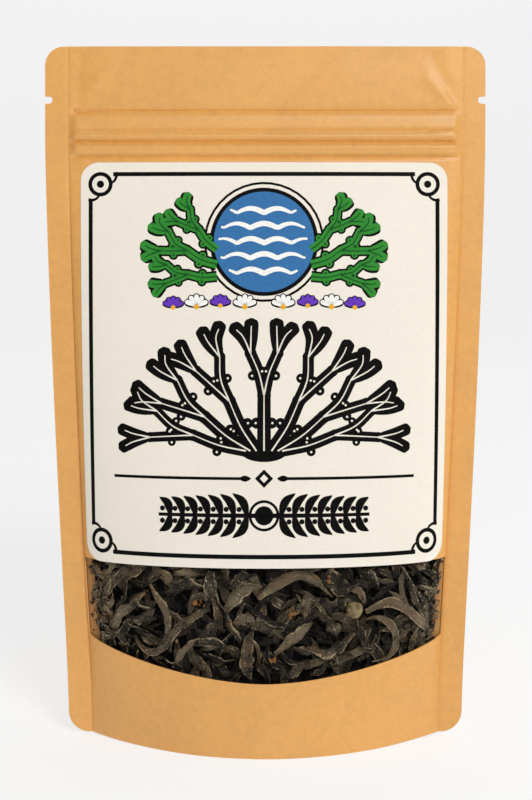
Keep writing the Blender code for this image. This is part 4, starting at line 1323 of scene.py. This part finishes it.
def broken_bits(rng, centres, size):
    """Small broken bits: balls stretched and turned at random, their radius uneven with the angle."""
    count = len(centres)
    theta, phi, faces = ball_grid(4, 6)
    ray = ball_rays(theta, phi).reshape(-1, 3)
    uneven = 1 + rng.uniform(-0.35, 0.35, (count, len(ray), 1))
    stretch = rng.uniform(0.35, 1.0, (count, 1, 3))
    turn = np.linalg.qr(rng.normal(size=(count, 3, 3)))[0]
    turn *= np.sign(np.linalg.det(turn))[:, None, None]
    points = centres[:, None] + np.einsum("nij,npj->npi", turn, ray * uneven * stretch) * size[:, None, None]
    faces = (faces + np.arange(count)[:, None, None] * len(ray)).reshape(-1, 4)
    return points.reshape(-1, 3), faces


BLADDER_PLACE = (31.1, 45.9)

# Clusters of orange-brown bits, as (u, v) and how many
RUST_PLACES = (
    (9.0, 46.0, 12),
    (-22.5, 49.0, 8),
    (2.8, 32.0, 3),
    (-39.0, 53.0, 5),
    (55.0, 46.0, 3),
    (20.0, 56.5, 4),
)

# Strips that lie against the window: a path of (u, v), the width and the depth behind the film
WINDOW_STRIPS = (
    (((-18.2, 59.4), (-18.5, 54.9), (-16.8, 50.4), (-13.9, 46.9)), 4, 1.3),
    (((-13.6, 46.6), (-9.9, 51.2), (-6, 54.1), (-1.1, 54.5)), 4, 1.5),
    (((-2.4, 50.9), (0.3, 53.5), (4.5, 56), (8.1, 57.6), (13.4, 58.2), (18, 55.8), (22.7, 50.9)), 3.6, 1.2),
    (((18.7, 57.7), (22.3, 56.4), (25.7, 53.7), (27.7, 51)), 6.6, 1.6),
    (((-7.3, 49), (-2.7, 46.5), (1.6, 43.6), (5.9, 42), (10.1, 41.6)), 2, 1.4),
    (((16.1, 42.7), (10.5, 38.7), (3.6, 32.7)), 4.3, 1.1),
    (((-4.4, 40.4), (-6, 36.5), (-6.7, 31.7), (-5.8, 27.3), (-4.8, 24.5)), 5, 1),
    (((-26, 34.2), (-22.1, 36.4), (-17.7, 36.9), (-13.4, 34.8), (-9.7, 33)), 3.3, 1.3),
    (((-24.3, 33), (-19.5, 31.7), (-15.1, 30.2), (-10.4, 30.7)), 4, 1.8),
    (((-13.6, 45.3), (-12, 41.2), (-9.7, 38.1), (-8.7, 35.2)), 2.6, 2),
    (((-6, 46.1), (-4.3, 43.9), (-3.7, 40.4)), 2.6, 2.2),
    (((-16.6, 42.7), (-20, 39.7), (-23.8, 36.6)), 2.6, 2),
    (((14.4, 52.4), (14.1, 48.2), (13.1, 43.4)), 3, 1.9),
    (((16.7, 51), (19.4, 47.4), (21.8, 44.8)), 2.6, 2),
    (((15.6, 34.7), (21, 33.2), (25.1, 34.9), (28.4, 37.6), (30.8, 38.8)), 3.3, 1.2),
    (((6.3, 24.7), (10.6, 27.8), (15.6, 30.2)), 3, 1.8),
    (((-39.5, 54.2), (-37.5, 51.4), (-35.1, 48), (-33.5, 44.2), (-33.7, 40.2), (-34.9, 37.5)), 3.3, 1.1),
    (((-18.9, 47.1), (-24.9, 44.3), (-30.6, 39.8), (-35.8, 34.1), (-39.7, 31.8), (-44, 33.3), (-46.8, 36.3)),
     3, 1.2),
    (((-46.2, 47.8), (-49.9, 44.7), (-53.6, 40.2), (-56.8, 35.9)), 3, 1.4),
    (((-47, 43), (-49.2, 39.4), (-51.2, 36.4), (-49.7, 32.2)), 2.6, 1.9),
    (((-45.8, 49.8), (-43.3, 47), (-38.4, 45.8)), 3, 2),
    (((-47.1, 41), (-43.2, 42.7), (-38.2, 42.5)), 3.3, 1.9),
    (((-43.7, 37.3), (-40.4, 36.3), (-36.8, 35.7)), 3.3, 2.2),
    (((-35.4, 51.2), (-31.6, 52.7), (-26.8, 54.9), (-20.8, 53.8)), 4, 1.6),
    (((-52.4, 55.1), (-47.5, 57.9), (-41, 59.7)), 4.6, 1.7),
    (((-31.8, 28.2), (-28.1, 33.1), (-21.4, 38.3)), 2.6, 1.8),
    (((-25.9, 34.9), (-25, 30.4), (-21.7, 26.4)), 3, 1.9),
    (((34.7, 45.4), (38.5, 47.1), (42.7, 48.1), (47.3, 46), (52.3, 42.7), (57.1, 38.6), (62.4, 33.5)),
     3.3, 1.1),
    (((34.8, 42.8), (38.7, 43.8), (42.8, 41.4), (45.8, 37.1), (46.2, 33), (43.4, 29.6), (38.2, 28.6)),
     2.3, 1.5),
    (((31.7, 43), (32.5, 39), (34.9, 35.2), (38.7, 32.9)), 3, 1.3),
    (((47.3, 59.6), (49.9, 54.7), (52.6, 47.7), (57, 42.4), (62.2, 34.2)), 1.7, 1),
    (((52.6, 40), (49.3, 37.4), (46.8, 34.6)), 2.3, 2.2),
    (((25.5, 32.3), (26, 28.3)), 5.6, 2.2),
    (((31.4, 60.2), (35.5, 56.8), (39.4, 52.3)), 4.3, 2.2),
    (((18, 50), (21.4, 47.4), (22.8, 44.4)), 3.6, 2.2),
    (((21.1, 42.9), (23.9, 39.8), (25.3, 37.2)), 4, 2.2),
    (((25.4, 50.4), (26.4, 46.2)), 3, 2.2),
    (((28, 53.6), (31.8, 52.4), (34.6, 48)), 2.3, 2.2),
    (((-32.3, 57.2), (-26.8, 58.5), (-21.5, 58)), 3.3, 2.2),
    (((-28.2, 60.3), (-24.8, 59.2), (-20.8, 60.9)), 3, 2.2),
    (((-9.6, 59.2), (-6, 57.3), (-2.4, 58.3)), 4, 2.2),
    (((-11.6, 53.4), (-8.3, 57.3), (-6.3, 60.5)), 3.3, 2.2),
    (((-36.4, 59), (-33.3, 56.6), (-33, 53.3)), 3, 2.2),
    (((-58.5, 51.6), (-54.5, 54.9), (-52, 58.1)), 3, 2.2),
    (((-59.4, 47.4), (-56.8, 45.5), (-55, 42.7)), 3, 2.2),
    (((-62.3, 42.1), (-60.7, 38.7), (-57.5, 37.5)), 2.6, 2.2),
    (((54.3, 53.2), (57.8, 51.8), (59.5, 48.4), (56.9, 46.5)), 1.3, 2.2),
    (((38.3, 59.5), (42.6, 57.9), (44.7, 54.5)), 3, 2.2),
    (((0.6, 56.4), (3.5, 59.3), (7.1, 60.5)), 3.3, 2.2),
    (((-1.1, 33.4), (2.3, 30.5), (6.6, 29.2)), 3.6, 2.2),
    (((10.2, 34.5), (13.9, 33.2), (18.3, 34)), 3.3, 2.2),
    (((-2.7, 29.9), (-0.1, 27), (1.6, 24.5)), 2.6, 2.2),
    (((29.3, 32.3), (34.3, 32.9), (38.8, 31.5)), 2.6, 2.2),
    (((11.6, 27.8), (15.7, 28.9), (21.8, 30.6)), 2.6, 2.2),
    (((-16.8, 28.9), (-14.5, 27.1), (-10.1, 25.9)), 3, 2.2),
    (((-36.1, 30.1), (-32.6, 27.8), (-29, 26.8)), 2.6, 2.2),
    (((1.6, 50.9), (4.8, 49), (6.8, 46.1)), 2.6, 2.2),
    (((6.2, 37.8), (3.2, 40.1), (0.9, 38.2)), 3, 2.2),
    (((-28.4, 42.2), (-31.8, 44.3), (-35.2, 46)), 3, 2.2),
    (((-18.2, 50.7), (-21.5, 51.2), (-24.8, 49.8)), 2.6, 2.2),
)


# The scattered strips: how far they lie to the sides, their heights and lengths, and what is left of the
# length and of the depth of those past a distance from the middle
SCATTER_REACH = 65.5
SCATTER_RISE = (20, 62.5)
SCATTER_LENGTH = (8, 19)
SHORTER_PAST = (52, 0.62)
SHALLOWER_PAST = (54, 0.5)


def scattered_lines(rng, count, steps, depth_low, depth_high):
    """Centre lines laid at random behind the window, denser at its sides: arcs whose ends sink deeper."""

    def draw(low, high):
        return rng.uniform(low, high, (count, 1))

    u, v, turn = SCATTER_REACH * np.sin(draw(-1.5, 1.5)), draw(*SCATTER_RISE), draw(0, math.pi)
    length = draw(*SCATTER_LENGTH) * np.where(np.abs(u) > SHORTER_PAST[0], SHORTER_PAST[1], 1.0)
    t = np.linspace(-0.5, 0.5, steps)
    bend = draw(-0.9, 0.9)
    heading = turn + bend * 2 * t
    step_u, step_v = np.cos(heading), np.sin(heading)
    line_u = u + length * (np.cumsum(step_u, axis=1) - step_u.sum(1, keepdims=True) / 2) / steps
    line_v = v + length * (np.cumsum(step_v, axis=1) - step_v.sum(1, keepdims=True) / 2) / steps
    deep = draw(depth_low, depth_high) + draw(-1.4, 1.4) * 2 * t + draw(0, 1.6) * (2 * t) ** 2
    deep = deep * np.where(np.abs(u) > SHALLOWER_PAST[0], SHALLOWER_PAST[1], 1.0)
    return np.stack([line_u, line_v, deep], axis=-1)


BLADDER_LEAN = math.radians(28)
BLADDER_GAP = 0.9


def air_bladder(look):
    """The round air bladder: a ball with shallow dents, and a stalk where its radius rises to a point."""
    theta, phi, faces = ball_grid(40, 48)
    radius = look.bladder_diameter / 2
    dents = 0.05 * np.sin(2.3 * theta + 1.2) * np.cos(2 * phi + 0.6)
    dents += 0.02 * np.sin(7 * phi + 4 * theta) * np.sin(theta)
    stalk = 0.55 * np.exp(-(((math.pi - theta) / 0.26) ** 2))
    cosine, sine = math.cos(BLADDER_LEAN), math.sin(BLADDER_LEAN)
    turn = np.array([[cosine, 0, sine], [0, 1, 0], [-sine, 0, cosine]])
    centre = fill_point(*[np.array(value) for value in (*BLADDER_PLACE, radius + BLADDER_GAP)])
    ball = ((1 + dents + stalk)[..., None] * ball_rays(theta, phi) * radius).reshape(-1, 3)
    points = centre + ball @ turn.T
    skin = bladder_skin(look)
    make_piece("air_bladder", points, outward(points, faces), skin, "dried_bladderwrack", sharp=60.0)


def thallus_piece(name, parts, thallus, replaces=()):
    """One piece of dried thallus from parts, each its points, faces, values and uv, with faces outward."""
    points, faces = joined([(part[0], outward(part[0], part[1])) for part in parts])
    values = {key: np.concatenate([part[2][key] for part in parts]) for key in parts[0][2]}
    uv = np.concatenate([part[3] for part in parts])
    make_piece(name, points, faces, thallus, "dried_bladderwrack", replaces, 60.0, values, uv)


SCATTER_DEPTH = (2.0, 6.5)
SCATTER_WIDTH = (1.5, 3.6)


def seaweed_heap(look, rng, thallus):
    """The heap: its core and the scattered strips that stand out of it behind the window."""
    line = scattered_lines(rng, look.strip_count, 10, *SCATTER_DEPTH)
    width = rng.uniform(*SCATTER_WIDTH, (look.strip_count, 1))
    strips = ribbons(line, width, look.thickness, 2, rng, 0.6, 0.2)
    core, faces = heap_core(60, 96)
    # Painted shade: the core gets deep 1, so it is coloured near black; its other values are 0.
    values = {key: np.full(len(core), float(key == "deep")) for key in strips[2]}
    parts = [(core, faces, values, core[:, [0, 2]]), strips]
    thallus_piece("seaweed_heap", parts, thallus, ["bladderwrack_fill"])


STRIP_WIDENING = 1.05


def window_strips(look, rng, thallus):
    """The strips that lie against the window, each with a slow wave in its depth and ends that sink."""
    parts = []
    for path, width, depth in WINDOW_STRIPS:
        flat = curve_points(path, 0.45)
        t = np.linspace(0, 1, len(flat))
        deep = depth + 0.4 * np.sin(t * rng.uniform(3, 8) + rng.uniform(0, 6)) + 1.2 * np.abs(2 * t - 1) ** 3
        line = np.concatenate([flat, deep[:, None]], axis=1)[None]
        parts.append(ribbons(line, np.array([[width * STRIP_WIDENING]]), look.thickness, 8, rng, 0.9, 0.1))
    thallus_piece("window_strips", parts, thallus)


CRUMB_SIZE = (0.3, 0.9)
CRUMB_NEAREST = 1.1
RUST_SPREAD = (1.6, 1.2, 0.3)


def crumbs(look, rng, thallus):
    """Crumbs: two of three near the window's sides, the third anywhere behind it, and the rusty clusters."""
    count = look.crumb_count
    at_sides = rng.choice([-1, 1], count) * (66.0 - rng.gamma(1.6, 2.2, count))
    anywhere = rng.uniform(-64, 64, count)
    u = np.where(np.arange(count) % 3 < 2, at_sides, anywhere)
    v = window_low(u) + rng.uniform(0, 1, count) * (WINDOW_TOP - window_low(u))
    places = [np.stack([u, v, rng.uniform(0.9, 2.0, count)], axis=1)]
    for u, v, number in RUST_PLACES:
        places.append(np.array([u, v, 1.3]) + rng.normal(size=(number, 3)) * RUST_SPREAD)
    u, v, depth = np.concatenate(places).T
    size = CRUMB_SIZE[0] + CRUMB_SIZE[1] * rng.uniform(0, 1, len(u)) ** 2
    bits, faces = broken_bits(rng, fill_point(u, v, np.maximum(depth, CRUMB_NEAREST)), size)
    rusty = (np.arange(len(u)) >= count) | (rng.uniform(0, 1, len(u)) > 0.96)
    values = {"tone": rng.uniform(0, 0.6, len(u)) + rusty, "edge": rng.uniform(0, 0.9, len(u))}
    values |= {"tip": rusty * 1.4, "deep": np.zeros(len(u))}
    values = {key: np.repeat(value, len(bits) // len(u)) for key, value in values.items()}
    thallus_piece("crumbs", [(bits, faces, values, bits[:, [0, 2]])], thallus)


def dried_seaweed(look):
    """The whole filling; its random draws follow each other in this order."""
    thallus = dried_thallus(look)
    rng = np.random.default_rng(look.seed)
    seaweed_heap(look, rng, thallus)
    window_strips(look, rng, thallus)
    crumbs(look, rng, thallus)
    air_bladder(look)


# Stage


def lamp(name, power, size, place, target, tint=(1.0, 1.0, 1.0)):
    """A soft square lamp in metres, aimed at a target."""
    light = bpy.data.lights.new(name, "AREA")
    light.energy, light.size, light.color = power, size, tint
    made = bpy.data.objects.new(name, light)
    made.location = place
    made.rotation_euler = (Vector(target) - Vector(place)).to_track_quat("-Z", "Y").to_euler()
    bpy.context.scene.collection.objects.link(made)


# The floor, in millimetres: half its width, where it starts and turns up, and the backdrop's radius and top
FLOOR_HALF_WIDTH = 2600
FLOOR_START = -1800
FLOOR_TURN = 1400
BACKDROP_RADIUS = 700
BACKDROP_TOP = 2600
LAMP_TARGET = (0.0, 0.0, 0.1)
CAMERA_SHIFT = (0.00096, -0.1707)


def floor_sheet(look):
    """The ground and backdrop in one sheet: flat, then a quarter circle, then upright."""
    turn = np.radians(np.linspace(0, 90, 24))[1:]
    y = [np.linspace(FLOOR_START, FLOOR_TURN, 12), FLOOR_TURN + BACKDROP_RADIUS * np.sin(turn)]
    y = np.concatenate([*y, [FLOOR_TURN + BACKDROP_RADIUS]])
    z = np.concatenate([np.zeros(12), BACKDROP_RADIUS * (1 - np.cos(turn)), [BACKDROP_TOP]])
    x, row = np.meshgrid(np.linspace(-FLOOR_HALF_WIDTH, FLOOR_HALF_WIDTH, 12), np.arange(len(y)))
    points = np.stack([x, y[row], z[row]], axis=-1).reshape(-1, 3)
    floor = make_piece("floor", points, grid_faces(*x.shape), pale_floor(look))


def stage(look):
    """The floor, the soft lamps, the pale surroundings and the camera."""
    floor_sheet(look)
    world = bpy.data.worlds.new("surroundings")
    world.use_nodes = True
    world.node_tree.nodes["Background"].inputs["Color"].default_value = (1.0, 1.0, 1.0, 1.0)
    world.node_tree.nodes["Background"].inputs["Strength"].default_value = look.sky_strength
    bpy.context.scene.world = world
    lamp("key", look.key_power, 0.5, (0.54, -1.2, 0.95), LAMP_TARGET, (1.0, 0.99, 0.97))
    lamp("side", look.side_power, 0.6, (1.15, 0.25, 0.35), LAMP_TARGET)
    lamp("fill", look.fill_power, 0.6, (-0.3, -1.5, 0.5), LAMP_TARGET)
    camera = bpy.data.cameras.new("camera")
    camera.lens, camera.sensor_width = look.lens, 36.0
    camera.shift_x, camera.shift_y = CAMERA_SHIFT
    camera.clip_start, camera.clip_end = 0.02, 20.0
    made = bpy.data.objects.new("camera", camera)
    made.location = (0.0, -look.camera_distance * MM, look.camera_height * MM)
    made.rotation_euler = (math.pi / 2 - look.camera_tilt, 0.0, 0.0)
    bpy.context.scene.collection.objects.link(made)
    bpy.context.scene.camera = made
    bpy.context.scene.view_settings.view_transform = "Standard"


# Operators


class POUCH_OT_paper(bpy.types.Operator):
    """Make the front and back panels of mottled kraft paper"""

    bl_idname = "pouch.paper"
    bl_label = "Front and back paper"

    def execute(self, context):
        front_and_back(context.scene.pouch_paper)
        return {"FINISHED"}


class POUCH_OT_bottom(bpy.types.Operator):
    """Make the folded bottom; the paper is made first"""

    bl_idname = "pouch.bottom"
    bl_label = "Folded bottom"

    def execute(self, context):
        bottom_gusset()
        return {"FINISHED"}


class POUCH_OT_film(bpy.types.Operator):
    """Make the clear film in the window"""

    bl_idname = "pouch.film"
    bl_label = "Window film"

    def execute(self, context):
        window_film(context.scene.pouch_paper)
        return {"FINISHED"}


class POUCH_OT_zip(bpy.types.Operator):
    """Give both halves of the zip their milky plastic"""

    bl_idname = "pouch.zip"
    bl_label = "Zip finish"

    def execute(self, context):
        plastic = zip_plastic()
        for name in ("zip_channel", "zip_rib"):
            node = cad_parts[name]
            node.material_slots[0].material = plastic
        return {"FINISHED"}


class POUCH_OT_label(bpy.types.Operator):
    """Make the label with its round corners"""

    bl_idname = "pouch.label"
    bl_label = "Label"

    def execute(self, context):
        paper_label(context.scene.pouch_paper)
        return {"FINISHED"}


class POUCH_OT_print(bpy.types.Operator):
    """Print the border and the seaweed ornaments on the label"""

    bl_idname = "pouch.print"
    bl_label = "Label print"

    def execute(self, context):
        label_print(context.scene.pouch_print, context.scene.pouch_paper.label_thickness)
        return {"FINISHED"}


class POUCH_OT_seaweed(bpy.types.Operator):
    """Fill the pouch with dried, cut bladderwrack"""

    bl_idname = "pouch.seaweed"
    bl_label = "Dried seaweed"

    def execute(self, context):
        dried_seaweed(context.scene.pouch_fill)
        return {"FINISHED"}


class POUCH_OT_stage(bpy.types.Operator):
    """Set up the floor, the lights and the camera"""

    bl_idname = "pouch.stage"
    bl_label = "Stage"

    def execute(self, context):
        stage(context.scene.pouch_stage)
        return {"FINISHED"}


class POUCH_PT_sidebar(bpy.types.Panel):
    """Sizes, colours and pieces of the pouch"""

    bl_idname = "POUCH_PT_sidebar"
    bl_label = "Bladderwrack pouch"
    bl_space_type = "VIEW_3D"
    bl_region_type = "UI"
    bl_category = "Pouch"

    def draw(self, context):
        for group in GROUPS:
            settings = getattr(context.scene, group)
            box = self.layout.box()
            for key in settings.bl_rna.properties.keys():
                if key not in ("rna_type", "name"):
                    box.prop(settings, key)
        for operator in OPERATORS:
            self.layout.operator(operator.bl_idname)


GROUPS = {
    "pouch_paper": PaperSettings,
    "pouch_print": PrintSettings,
    "pouch_fill": FillSettings,
    "pouch_stage": StageSettings,
}
OPERATORS = (
    POUCH_OT_paper,
    POUCH_OT_bottom,
    POUCH_OT_film,
    POUCH_OT_zip,
    POUCH_OT_label,
    POUCH_OT_print,
    POUCH_OT_seaweed,
    POUCH_OT_stage,
)


def register():
    """Adds the settings, the operators and the panel, and a group of settings to the scene for each."""
    for made in (*GROUPS.values(), *OPERATORS, POUCH_PT_sidebar):
        bpy.utils.register_class(made)
    for name, group in GROUPS.items():
        setattr(bpy.types.Scene, name, bpy.props.PointerProperty(type=group))


def unregister():
    """Takes away what register added."""
    for name in GROUPS:
        delattr(bpy.types.Scene, name)
    for made in reversed((*GROUPS.values(), *OPERATORS, POUCH_PT_sidebar)):
        bpy.utils.unregister_class(made)


def main():
    """Registers the add-on's classes and builds every piece in order."""
    register()
    bpy.ops.pouch.paper()
    bpy.ops.pouch.bottom()
    bpy.ops.pouch.film()
    bpy.ops.pouch.zip()
    bpy.ops.pouch.label()
    bpy.ops.pouch.print()
    bpy.ops.pouch.seaweed()
    bpy.ops.pouch.stage()


if __name__ == "__main__":
    main()
